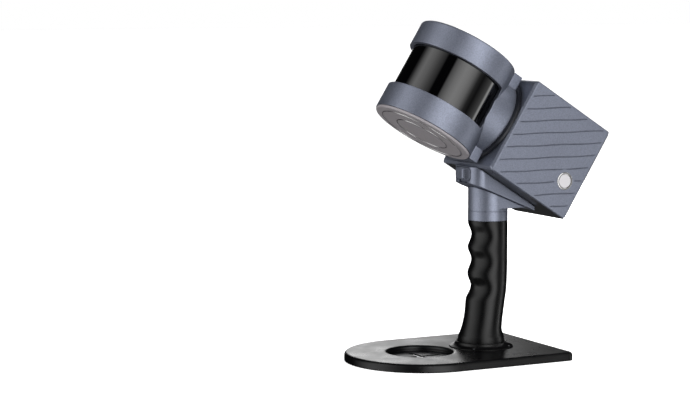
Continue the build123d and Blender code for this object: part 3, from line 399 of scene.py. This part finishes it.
@dataclass(frozen=True)
class StudioCamera:
    """The camera that looks slightly down on the near side from ahead; its lens in millimetres."""

    place: tuple[float, float, float] = (-1.0940, -1.8035, 0.3766)
    forward: tuple[float, float, float] = (0.4554, 0.8839, -0.1062)
    lens: float = 107.6
    sensor: float = 36.0
    reach: float = 50.0

    def build(self) -> None:
        """Make the camera and hand it to the scene."""
        data = bpy.data.cameras.new("studio_camera")
        data.lens = self.lens
        data.sensor_width = self.sensor
        data.clip_end = self.reach
        camera = bpy.data.objects.new("studio_camera", data)
        camera.location = self.place
        camera.rotation_mode = "QUATERNION"
        camera.rotation_quaternion = Vector(self.forward).to_track_quat("-Z", "Y")
        bpy.context.scene.collection.objects.link(camera)
        bpy.context.scene.camera = camera


@dataclass(frozen=True)
class SoftBox:
    """One rectangular studio lamp, aimed at a point; angles in degrees and power in watts."""

    name: str
    azimuth: float
    elevation: float
    distance: float
    width: float
    height: float
    power: float
    aim: tuple[float, float, float] = (-0.02, 0.0, 0.2)

    def build(self) -> None:
        """Hang the lamp; azimuth 0 is on the near side and grows towards the rear."""
        turn, rise = math.radians(self.azimuth), math.radians(self.elevation)
        across, up = math.cos(rise), math.sin(rise)
        away = Vector((math.sin(turn) * across, -math.cos(turn) * across, up))
        data = bpy.data.lights.new(self.name, "AREA")
        data.shape = "RECTANGLE"
        data.size, data.size_y = self.width, self.height
        data.energy = self.power
        lamp = bpy.data.objects.new(self.name, data)
        lamp.location = Vector(self.aim) + away * self.distance
        lamp.rotation_mode = "QUATERNION"
        lamp.rotation_quaternion = away.to_track_quat("Z", "Y")
        lamp.visible_glossy = False
        bpy.context.scene.collection.objects.link(lamp)


@dataclass(frozen=True)
class Studio:
    """Pale floor, and a dim room with tall diffuser walls whose brightness changes round the object.

    `walls` pairs an azimuth in degrees with a share of `wall_gain`. A band is the four levels
    where a light starts, is full, starts to fade and is gone: heights are the sine of the
    elevation and turns are radians.
    """

    floor_size: float = 30.0
    floor_glow: float = 0.75
    wall_gain: float = 3.4
    wall_heights: tuple[float, float, float, float] = (-0.75, -0.45, 0.7, 0.9)
    room: float = 0.006
    back_panel: float = 2.4
    panel_turns: tuple[float, float, float, float] = (2.58, 2.64, 2.76, 2.86)
    panel_heights: tuple[float, float, float, float] = (0.03, 0.08, 0.2, 0.6)
    below: float = 0.3
    below_heights: tuple[float, float] = (-0.45, -0.7)
    walls: tuple[tuple[float, float], ...] = (
        (-142.0, 0.0),
        (-134.0, 0.08),
        (-124.0, 0.32),
        (-110.0, 0.62),
        (-90.0, 0.52),
        (-66.0, 0.22),
        (-54.0, 0.1),
        (-49.0, 0.0),
        (-27.0, 0.0),
        (-24.0, 0.3),
        (-10.0, 0.75),
        (2.0, 1.0),
        (12.0, 0.88),
        (22.0, 0.6),
        (28.0, 0.3),
        (34.0, 0.08),
        (44.0, 0.02),
        (56.0, 0.1),
        (70.0, 0.2),
        (75.0, 0.8),
        (79.0, 0.8),
        (82.0, 0.0),
    )
    lamps: tuple[SoftBox, ...] = (
        SoftBox(
            "overhead_box", azimuth=70.0, elevation=78.0, distance=1.6, width=0.9, height=0.9, power=6.0
        ),
        SoftBox(
            "rear_box", azimuth=104.0, elevation=40.0, distance=1.9, width=1.2, height=1.0, power=14.0
        ),
        SoftBox(
            "far_side_box", azimuth=140.0, elevation=15.0, distance=1.9, width=1.4, height=1.0, power=26.0
        ),
    )

    def build(self) -> None:
        """Make the floor, the room and the lamps."""
        half = self.floor_size / 2
        corners = [(-half, -half, 0), (half, -half, 0), (half, half, 0), (-half, half, 0)]
        mesh = bpy.data.meshes.new("floor")
        mesh.from_pydata(corners, [], [(0, 1, 2, 3)])
        floor = bpy.data.objects.new("floor", mesh)
        bpy.context.scene.collection.objects.link(floor)
        mesh.materials.append(self._floor_paper())
        floor.visible_diffuse = floor.visible_glossy = False
        self._room()
        for lamp in self.lamps:
            lamp.build()

    def _floor_paper(self) -> bpy.types.Material:
        """Matt white paper sweep, lit a little from behind like a light table."""
        material = bpy.data.materials.new("white_paper_sweep")
        material.use_nodes = True
        paper = material.node_tree.nodes["Principled BSDF"].inputs
        paper["Base Color"].default_value = linear("F4F4F4")
        paper["Roughness"].default_value = 1.0
        paper["Specular IOR Level"].default_value = 0.0
        paper["Emission Color"].default_value = (1.0, 1.0, 1.0, 1.0)
        paper["Emission Strength"].default_value = self.floor_glow
        return material

    def _room(self) -> None:
        """Surround the object with the dim room and its bright walls; the open sky is white."""
        world = bpy.data.worlds.new("studio")
        world.use_nodes = True
        tree = world.node_tree
        tree.nodes.clear()
        coords = add_node(tree, "ShaderNodeTexCoord")
        way = add_node(tree, "ShaderNodeSeparateXYZ", {0: coords.outputs["Generated"]})
        rise = way.outputs["Z"]
        near = add_node(tree, MATH, {0: way.outputs["Y"], 1: -1.0}, operation="MULTIPLY")
        turn = add_node(tree, MATH, {0: way.outputs["X"], 1: near}, operation="ARCTAN2").outputs[0]
        share = add_node(tree, MAP_RANGE, {0: turn, 1: -math.pi, 2: math.pi})
        ramp = add_node(tree, "ShaderNodeValToRGB", {0: share})
        stops = ramp.color_ramp.elements
        for index, (azimuth, light) in enumerate(self.walls):
            stop = stops[index] if index < 2 else stops.new(1.0)
            stop.position = (azimuth + 180) / 360
            stop.color = (light, light, light, 1.0)
        wall_band = self._band(tree, rise, self.wall_heights)
        lit = add_node(tree, MATH, {0: ramp, 1: wall_band}, operation="MULTIPLY")
        walls = add_node(tree, MATH, {0: lit, 1: self.wall_gain, 2: self.room}, operation="MULTIPLY_ADD")
        across = self._band(tree, turn, self.panel_turns)
        along = self._band(tree, rise, self.panel_heights)
        panel = add_node(tree, MATH, {0: across, 1: along}, operation="MULTIPLY")
        upper = add_node(tree, MATH, {0: panel, 1: self.back_panel, 2: walls}, operation="MULTIPLY_ADD")
        start, full = self.below_heights
        deep = add_node(tree, MAP_RANGE, {0: rise, 1: start, 2: full, 3: 0.0, 4: self.below})
        every = add_node(tree, MATH, {0: upper, 1: deep}, operation="ADD")
        path = add_node(tree, "ShaderNodeLightPath")
        seen = add_node(
            tree, MIX, {0: path.outputs["Is Camera Ray"], 2: every, 3: 1.0}, data_type="FLOAT"
        )
        light = add_node(tree, "ShaderNodeBackground", {"Color": (1, 1, 1, 1), "Strength": seen})
        add_node(tree, "ShaderNodeOutputWorld", {"Surface": light})
        bpy.context.scene.world = world
        bpy.context.scene.view_settings.view_transform = "Standard"

    @staticmethod
    def _band(
        tree: bpy.types.NodeTree,
        across: bpy.types.NodeSocket,
        levels: tuple[float, float, float, float],
    ) -> bpy.types.Node:
        """Fade a light in and out again.

        Args:
            tree: the world's tree.
            across: the direction's height or turn.
            levels: where the light starts, is full, starts to fade and is gone.

        Returns:
            One inside the band and nothing outside it.
        """
        start, full, fading, gone = levels
        inner, outer = (
            add_node(
                tree, MAP_RANGE, {0: across, 1: dark, 2: bright}, interpolation_type="SMOOTHSTEP"
            )
            for dark, bright in ((start, full), (gone, fading))
        )
        return add_node(tree, MATH, {0: inner, 1: outer}, operation="MULTIPLY")


def new_tree(
    name: str, inputs: Sequence[tuple[str, str]]
) -> tuple[bpy.types.NodeTree, dict[str, bpy.types.NodeSocket]]:
    """Start a geometry tree with named inputs.

    Args:
        name: the tree's name.
        inputs: pairs of input name and socket type.

    Returns:
        The tree, and its inputs' sockets by name.
    """
    tree = bpy.data.node_groups.new(name, "GeometryNodeTree")
    tree.interface.new_socket("Geometry", in_out="INPUT", socket_type="NodeSocketGeometry")
    for label, kind in inputs:
        tree.interface.new_socket(label, in_out="INPUT", socket_type=kind)
    tree.interface.new_socket("Geometry", in_out="OUTPUT", socket_type="NodeSocketGeometry")
    given = add_node(tree, "NodeGroupInput")
    return tree, {label: given.outputs[label] for label, _ in inputs}


def end_tree(
    tree: bpy.types.NodeTree, shape: bpy.types.Node, material: bpy.types.Material, smooth: bool
) -> None:
    """Close a geometry tree with real meshes in one material.

    Args:
        tree: the geometry tree.
        shape: the node whose geometry is finished.
        material: the finish.
        smooth: whether every face is shaded smooth.
    """
    real = add_node(tree, "GeometryNodeRealizeInstances", {0: shape})
    shade = add_node(tree, "GeometryNodeSetShadeSmooth", {0: real, "Shade Smooth": smooth})
    dress = add_node(tree, "GeometryNodeSetMaterial", {0: shade, "Material": material})
    add_node(tree, "NodeGroupOutput", {0: dress})


def plain_mesh(
    name: str, tree: bpy.types.NodeTree, sizes: dict[str, Any], body: str
) -> bpy.types.Object:
    """Run a geometry tree once and keep its result as a plain mesh.

    Args:
        name: the piece's name.
        tree: a geometry tree that ends in Realize Instances and Set Material.
        sizes: input name to value.
        body: the CAD body that the piece rides on.

    Returns:
        The finished piece, at the origin.
    """
    seed = bpy.data.objects.new(name + "_seed", bpy.data.meshes.new(name + "_seed"))
    bpy.context.scene.collection.objects.link(seed)
    modifier = seed.modifiers.new("build", "NODES")
    modifier.node_group = tree
    items = [item for item in tree.interface.items_tree if item.in_out == "INPUT"]
    identifiers = {item.name: item.identifier for item in items}
    for key, value in sizes.items():
        modifier[identifiers[key]] = value
    graph = bpy.context.evaluated_depsgraph_get()
    mesh = bpy.data.meshes.new_from_object(seed.evaluated_get(graph), depsgraph=graph)
    seed.modifiers.remove(modifier)
    bpy.data.objects.remove(seed)
    mesh.name = name
    piece = bpy.data.objects.new(name, mesh)
    bpy.context.scene.collection.objects.link(piece)
    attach(piece, body)
    LOG.info("built %s", name)
    return piece


def close_up(piece: bpy.types.Object) -> None:
    """Merge a closed piece's doubled points and turn its faces outwards.

    Args:
        piece: the piece to mend.
    """
    work = bmesh.new()
    work.from_mesh(piece.data)
    bmesh.ops.remove_doubles(work, verts=work.verts, dist=WELD)
    bmesh.ops.dissolve_degenerate(work, edges=work.edges, dist=WELD / 10)
    bmesh.ops.recalc_face_normals(work, faces=work.faces)
    work.to_mesh(piece.data)
    work.free()


@dataclass(frozen=True)
class Grip:
    """Moulded rubber grip: a leaning, flared tube with three soft finger hollows round its front.

    Sizes are millimetres, and `finger_wrap` is degrees from the front. Stations give height, centre
    behind the neck's axis and radius.
    """

    stations: tuple[tuple[float, float, float], ...] = (
        (8.4, -7.1, 24.2),
        (15.5, -7.1, 24.0),
        (23.0, -7.0, 22.0),
        (31.0, -5.9, 20.4),
        (42.0, -4.1, 19.9),
        (56.0, -2.4, 20.2),
        (72.0, -0.5, 20.3),
        (88.0, 0.0, 20.4),
        (139.0, 0.0, 20.4),
    )
    bore: float = 12.76
    bore_centre: float = -1.2
    fingers: tuple[float, float, float] = (123.8, 97.8, 69.8)
    finger_depth: float = 4.2
    finger_reach: float = 13.4
    finger_flat: float = 0.25  # radians to either side of the front where a hollow is full
    finger_wrap: float = 100.0
    around: int = 144
    along: int = 261
    end_share: float = 0.04  # share of each wall's rows that fold into the flat ends

    def build(self, material: bpy.types.Material) -> bpy.types.Object:
        """Make the grip.

        Args:
            material: the rubber.

        Returns:
            The grip, standing for the CAD sleeve.
        """
        names = ("Bottom", "Top", "Bore", "Bore Centre", "Finger Depth", "Finger Reach", "Finger Wrap")
        tree, given = new_tree("grip_rule", [(name, FLOAT) for name in names])
        grid = add_node(
            tree,
            "GeometryNodeMeshGrid",
            {"Size X": 2.0, "Size Y": 2.0, "Vertices X": self.around + 1, "Vertices Y": self.along},
        )
        position = add_node(tree, "GeometryNodeInputPosition")
        spot = add_node(tree, "ShaderNodeSeparateXYZ", {0: position})
        turn = add_node(tree, MATH, {0: spot.outputs[0], 1: math.pi}, operation="MULTIPLY")
        inner = add_node(tree, MATH, {0: spot.outputs[1], 1: 0.0}, operation="GREATER_THAN")
        share = self._height_share(tree, spot.outputs[1], inner)
        height = add_node(tree, MAP_RANGE, {0: share, 3: given["Bottom"], 4: given["Top"]})
        cut = self._finger_cut(tree, given, turn, height)
        radius = self._station_curve(tree, share, 2)
        outer = add_node(tree, MATH, {0: radius, 1: cut}, operation="SUBTRACT")
        centre = self._station_curve(tree, share, 1)
        size = add_node(tree, MIX, {0: inner, 2: outer, 3: given["Bore"]}, data_type="FLOAT")
        middle = add_node(tree, MIX, {0: inner, 2: centre, 3: given["Bore Centre"]}, data_type="FLOAT")
        ahead = add_node(tree, MATH, {0: turn}, operation="COSINE")
        aside = add_node(tree, MATH, {0: turn}, operation="SINE")
        east = add_node(tree, MATH, {0: ahead, 1: size}, operation="MULTIPLY")
        north = add_node(tree, MATH, {0: aside, 1: size}, operation="MULTIPLY")
        front = add_node(tree, MATH, {0: middle, 1: east}, operation="SUBTRACT")
        point = add_node(tree, "ShaderNodeCombineXYZ", {0: front, 1: north, 2: height})
        metres = add_node(tree, VECTOR_MATH, {0: point, "Scale": MM}, operation="SCALE")
        bent = add_node(tree, "GeometryNodeSetPosition", {0: grid, "Position": metres})
        joined = add_node(tree, "GeometryNodeMergeByDistance", {0: bent, "Distance": WELD})
        end_tree(tree, joined, material, True)
        sizes = {
            "Bottom": self.stations[0][0],
            "Top": self.stations[-1][0],
            "Bore": self.bore,
            "Bore Centre": self.bore_centre,
            "Finger Depth": self.finger_depth,
            "Finger Reach": self.finger_reach,
            "Finger Wrap": math.radians(self.finger_wrap),
        }
        grip = plain_mesh("moulded_grip", tree, sizes, "chassis")
        close_up(grip)
        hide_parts("grip_sleeve")
        return grip

    def _height_share(
        self, tree: bpy.types.NodeTree, run: bpy.types.NodeSocket, inner: bpy.types.Node
    ) -> bpy.types.Node:
        """Send the grid's rows up the outer wall and down the bore.

        Args:
            tree: the grip's tree.
            run: the row's place in the grid, from -1 to 1.
            inner: one on the rows of the bore.

        Returns:
            Height above the grip's bottom, as a share of its length.
        """
        steep = 1 + self.end_share
        foot = 1 + self.end_share / 2
        rise = add_node(
            tree, MATH, {0: run, 1: steep, 2: foot}, operation="MULTIPLY_ADD", use_clamp=True
        )
        fall = add_node(
            tree, MATH, {0: run, 1: -steep, 2: steep}, operation="MULTIPLY_ADD", use_clamp=True
        )
        return add_node(tree, MIX, {0: inner, 2: rise, 3: fall}, data_type="FLOAT")

    def _finger_cut(
        self,
        tree: bpy.types.NodeTree,
        given: dict[str, bpy.types.NodeSocket],
        turn: bpy.types.Node,
        height: bpy.types.Node,
    ) -> bpy.types.Node:
        """Work out how deep the finger hollows are at each point.

        Args:
            tree: the grip's tree.
            given: the tree's inputs by name.
            turn: the point's angle from the front.
            height: the point's height.

        Returns:
            The depth in millimetres.
        """
        aside = add_node(tree, MATH, {0: turn}, operation="ABSOLUTE")
        wrap = add_node(
            tree,
            MAP_RANGE,
            {0: aside, 1: self.finger_flat, 2: given["Finger Wrap"], 3: 1.0, 4: 0.0},
            interpolation_type="SMOOTHERSTEP",
        )
        hollow: Any = 0.0
        for level in self.fingers:
            above = add_node(tree, MATH, {0: height, 1: level}, operation="SUBTRACT")
            away = add_node(tree, MATH, {0: above}, operation="ABSOLUTE")
            dip = add_node(
                tree,
                MAP_RANGE,
                {0: away, 1: 0.0, 2: given["Finger Reach"], 3: 1.0, 4: 0.0},
                interpolation_type="SMOOTHSTEP",
            )
            hollow = add_node(tree, MATH, {0: hollow, 1: dip}, operation="MAXIMUM")
        share = add_node(tree, MATH, {0: hollow, 1: wrap}, operation="MULTIPLY")
        return add_node(tree, MATH, {0: share, 1: given["Finger Depth"]}, operation="MULTIPLY")

    def _station_curve(
        self, tree: bpy.types.NodeTree, share: bpy.types.Node, column: int
    ) -> bpy.types.Node:
        """Give the stations' centre or radius at a share of the height.

        Args:
            tree: the grip's tree.
            share: height above the grip's bottom, as a share of its length.
            column: 1 for the centre, 2 for the radius.

        Returns:
            The value in millimetres.
        """
        bottom, top = self.stations[0][0], self.stations[-1][0]
        values = [station[column] for station in self.stations]
        low, high = min(values), max(values)
        curve = add_node(tree, "ShaderNodeFloatCurve", {"Value": share})
        points = curve.mapping.curves[0].points
        last = len(self.stations) - 1
        for index, station in enumerate(self.stations):
            spot = ((station[0] - bottom) / (top - bottom), (station[column] - low) / (high - low))
            if index in (0, last):
                points[0 if index == 0 else -1].location = spot
            else:
                points.new(*spot)
        curve.mapping.update()
        return add_node(tree, MAP_RANGE, {0: curve, 3: low, 4: high})


@dataclass(frozen=True)
class ScrewSet:
    """Socket-head screws that stand in the seats of one CAD node; sizes in millimetres."""

    node: str
    axis: Vector
    head: float
    head_height: float
    shank: float
    length: float
    easing: float = 0.22  # eased top edge, as a share of the head's height
    socket: float = 0.27  # radius of the hexagon socket, as a share of the head's diameter
    socket_depth: float = 0.6  # as a share of the head's height
    bite: float = 0.999  # the shank starts this little inside the head, so that the two join
    rim: float = 0.1  # points this near the top belong to the head's top face
    head_sides: int = 40
    shank_sides: int = 24

    def seats(self) -> list[Vector]:
        """Find the middle of each screw head's top, in metres, from the CAD solids.

        Returns:
            One place for each of the node's separate solids.
        """
        work = bmesh.new()
        work.from_mesh(frame["nodes"][self.node].data)
        bmesh.ops.remove_doubles(work, verts=work.verts, dist=WELD / 10)
        left, tops = set(work.verts), []
        while left:
            stack, island = [left.pop()], []
            while stack:
                vert = stack.pop()
                island.append(vert.co.copy())
                for edge in vert.link_edges:
                    other = edge.other_vert(vert)
                    if other in left:
                        left.remove(other)
                        stack.append(other)
            high = max(point.dot(self.axis) for point in island)
            face = [point for point in island if point.dot(self.axis) > high - self.rim * MM]
            tops.append(sum(face, Vector()) / len(face))
        work.free()
        return sorted(tops, key=lambda point: tuple(round(c, 5) for c in point))

    def build(self, material: bpy.types.Material, body: str, slot: str) -> bpy.types.Object:
        """Make the screws.

        Args:
            material: the screws' finish.
            body: the CAD body that they ride on.
            slot: the record's material slot; not used.

        Returns:
            One mesh with every screw of the node.
        """
        names = ("Head", "Head Height", "Shank", "Length")
        inputs = [(name, FLOAT) for name in names] + [("Turn", ROTATION)]
        tree, given = new_tree(self.node + "_rule", inputs)
        screw = self._screw(tree, given)
        dots = [
            add_node(tree, "GeometryNodePoints", {"Count": 1, "Position": seat})
            for seat in self.seats()
        ]
        points = add_node(tree, "GeometryNodeJoinGeometry", {0: dots})
        spread = add_node(
            tree,
            "GeometryNodeInstanceOnPoints",
            {"Points": points, "Instance": screw, "Rotation": given["Turn"]},
        )
        end_tree(tree, spread, material, False)
        sizes = {
            "Head": self.head * MM,
            "Head Height": self.head_height * MM,
            "Shank": self.shank * MM,
            "Length": self.length * MM,
            "Turn": self.axis.to_track_quat("Z", "Y").to_euler(),
        }
        piece = plain_mesh(self.node + "_set", tree, sizes, body)
        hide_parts(self.node)
        return piece

    def _screw(
        self, tree: bpy.types.NodeTree, given: dict[str, bpy.types.NodeSocket]
    ) -> bpy.types.Node:
        """Make one screw that hangs down from its head's top.

        Args:
            tree: the screws' tree.
            given: the tree's inputs by name.

        Returns:
            The node whose geometry is the screw.
        """
        head, tall, length = given["Head"], given["Head Height"], given["Length"]
        radius = add_node(tree, MATH, {0: head, 1: 0.5}, operation="MULTIPLY")
        easing = add_node(tree, MATH, {0: tall, 1: self.easing}, operation="MULTIPLY")
        depth = add_node(tree, MATH, {0: tall, 1: easing}, operation="SUBTRACT")
        wall = add_node(
            tree,
            "GeometryNodeMeshCylinder",
            {"Vertices": self.head_sides, "Radius": radius, "Depth": depth},
        )
        both = add_node(tree, MATH, {0: tall, 1: easing}, operation="ADD")
        wall_drop = add_node(tree, MATH, {0: both, 1: -0.5}, operation="MULTIPLY")
        top = add_node(tree, MATH, {0: radius, 1: easing}, operation="SUBTRACT")
        crown = add_node(
            tree,
            "GeometryNodeMeshCone",
            {"Vertices": self.head_sides, "Radius Top": top, "Radius Bottom": radius, "Depth": easing},
        )
        crown_drop = add_node(tree, MATH, {0: easing, 1: -1.0}, operation="MULTIPLY")
        thin = add_node(tree, MATH, {0: given["Shank"], 1: 0.5}, operation="MULTIPLY")
        stem = add_node(
            tree,
            "GeometryNodeMeshCylinder",
            {"Vertices": self.shank_sides, "Radius": thin, "Depth": length},
        )
        half_way = add_node(tree, MATH, {0: length, 1: 0.5, 2: tall}, operation="MULTIPLY_ADD")
        stem_drop = add_node(tree, MATH, {0: half_way, 1: -self.bite}, operation="MULTIPLY")
        parts = [
            self._lower(tree, shape, drop)
            for shape, drop in ((wall, wall_drop), (crown, crown_drop), (stem, stem_drop))
        ]
        solid = add_node(
            tree, "GeometryNodeMeshBoolean", {"Mesh 2": parts}, operation="UNION", solver="EXACT"
        )
        key_radius = add_node(tree, MATH, {0: head, 1: self.socket}, operation="MULTIPLY")
        key_depth = add_node(tree, MATH, {0: tall, 1: 2 * self.socket_depth}, operation="MULTIPLY")
        key = add_node(
            tree,
            "GeometryNodeMeshCylinder",
            {"Vertices": 6, "Radius": key_radius, "Depth": key_depth},
        )
        return add_node(
            tree,
            "GeometryNodeMeshBoolean",
            {0: solid, "Mesh 2": key},
            operation="DIFFERENCE",
            solver="EXACT",
        )

    @staticmethod
    def _lower(
        tree: bpy.types.NodeTree, shape: bpy.types.Node, drop: bpy.types.Node
    ) -> bpy.types.Node:
        """Move a shape along Z by a drop."""
        shift = add_node(tree, "ShaderNodeCombineXYZ", {2: drop})
        return add_node(tree, "GeometryNodeTransform", {0: shape, "Translation": shift})


@dataclass(frozen=True)
class CoverInlays:
    """Bright bands laid in the ring grooves of the head's bottom cover; millimetres."""

    radii: tuple[float, float] = (44.65, 28.05)
    thickness: float = 0.34
    ahead: float = 61.2  # the head's axis, ahead of the body's front face
    above: float = -50.75
    path_sides: int = 160
    band_sides: int = 10

    def build(self, material: bpy.types.Material) -> bpy.types.Object:
        """Make the bands.

        Args:
            material: their finish.

        Returns:
            One mesh with both bands.
        """
        tree, given = new_tree(
            "inlay_rule", [("Thickness", FLOAT), ("Middle", VECTOR), ("Turn", ROTATION)]
        )
        section = add_node(
            tree,
            "GeometryNodeCurvePrimitiveCircle",
            {"Resolution": self.band_sides, "Radius": given["Thickness"]},
        )
        bands = []
        for radius in self.radii:
            path = add_node(
                tree,
                "GeometryNodeCurvePrimitiveCircle",
                {"Resolution": self.path_sides, "Radius": radius * MM},
            )
            bands.append(
                add_node(tree, "GeometryNodeCurveToMesh", {"Curve": path, "Profile Curve": section})
            )
        joined = add_node(tree, "GeometryNodeJoinGeometry", {0: bands})
        laid = add_node(
            tree,
            "GeometryNodeTransform",
            {0: joined, "Translation": given["Middle"], "Rotation": given["Turn"]},
        )
        end_tree(tree, laid, material, True)
        sizes = {
            "Thickness": self.thickness * MM,
            "Middle": BODY_FRONT + HEAD_AXIS * self.ahead * MM + BODY_UP * self.above * MM,
            "Turn": BODY_UP.to_track_quat("Z", "Y").to_euler(),
        }
        return plain_mesh("cover_inlay_rings", tree, sizes, "head")


@dataclass(frozen=True)
class SubAssembly:
    """CAD pieces that are dressed together, by the bodies that they move with."""

    bodies: tuple[str, ...]

    def dress(self, materials: dict[str, bpy.types.Material]) -> None:
        """Put every CAD piece in its slot's finish.

        Args:
            materials: slot name to finish.
        """
        record = frame["record"]
        slots = {part["node"]: part["material_slot"] for part in record["subparts"]}
        for body in self.bodies:
            for name in record["behaviour"]["bodies"][body]:
                for holder in frame["nodes"][name].material_slots:
                    holder.material = materials[slots[name]]
                LOG.info("dressed %s in %s", name, slots[name])


@dataclass(frozen=True)
class HandleAndBody(SubAssembly):
    """Base plate, handle and main body, which are one rigid body."""

    bodies: tuple[str, ...] = ("chassis",)
    grip: Grip = Grip()
    screws: tuple[ScrewSet, ...] = (
        ScrewSet("bottom_screws", -BODY_UP, head=4.4, head_height=1.4, shank=2.5, length=7.8),
        ScrewSet("rear_screws", -HEAD_AXIS, head=4.4, head_height=1.4, shank=2.5, length=8.8),
        ScrewSet(
            "collar_screws", Vector((0, 0, -1)), head=4.0, head_height=1.8, shank=2.2, length=7.7
        ),
    )

    def build(self, materials: dict[str, bpy.types.Material]) -> None:
        """Dress the pieces, and build the grip and the screws that show.

        Args:
            materials: slot name to finish.
        """
        self.dress(materials)
        self.grip.build(materials["black_rubber"])
        for screws in self.screws:
            screws.build(materials["screw_steel"], "chassis", "screw_steel")


@dataclass(frozen=True)
class SensorHead(SubAssembly):
    """The turning head with its lidar, and the optics that spin behind its window."""

    bodies: tuple[str, ...] = ("head", "optics_rotor")
    inlays: CoverInlays = CoverInlays()

    def build(self, materials: dict[str, bpy.types.Material]) -> None:
        """Dress the pieces and lay the cover's bands.

        Args:
            materials: slot name to finish.
        """
        self.dress(materials)
        self.inlays.build(materials["chrome_trim"])


@dataclass(frozen=True)
class Controls(SubAssembly):
    """The power button, the quick-release button and the port door."""

    bodies: tuple[str, ...] = ("power_key", "release_key", "port_cover")

    def build(self, materials: dict[str, bpy.types.Material]) -> None:
        """Dress the pieces.

        Args:
            materials: slot name to finish.
        """
        self.dress(materials)


def main() -> None:
    """Build the studio and the finishes, then the sub-assemblies in order."""
    logging.basicConfig(level=logging.INFO, format="%(message)s")
    StudioCamera().build()
    Studio().build()
    materials = {slot: finish.build() for slot, finish in FINISHES.items()}
    for assembly in (HandleAndBody(), SensorHead(), Controls()):
        assembly.build(materials)


if __name__ == "__main__":
    main()
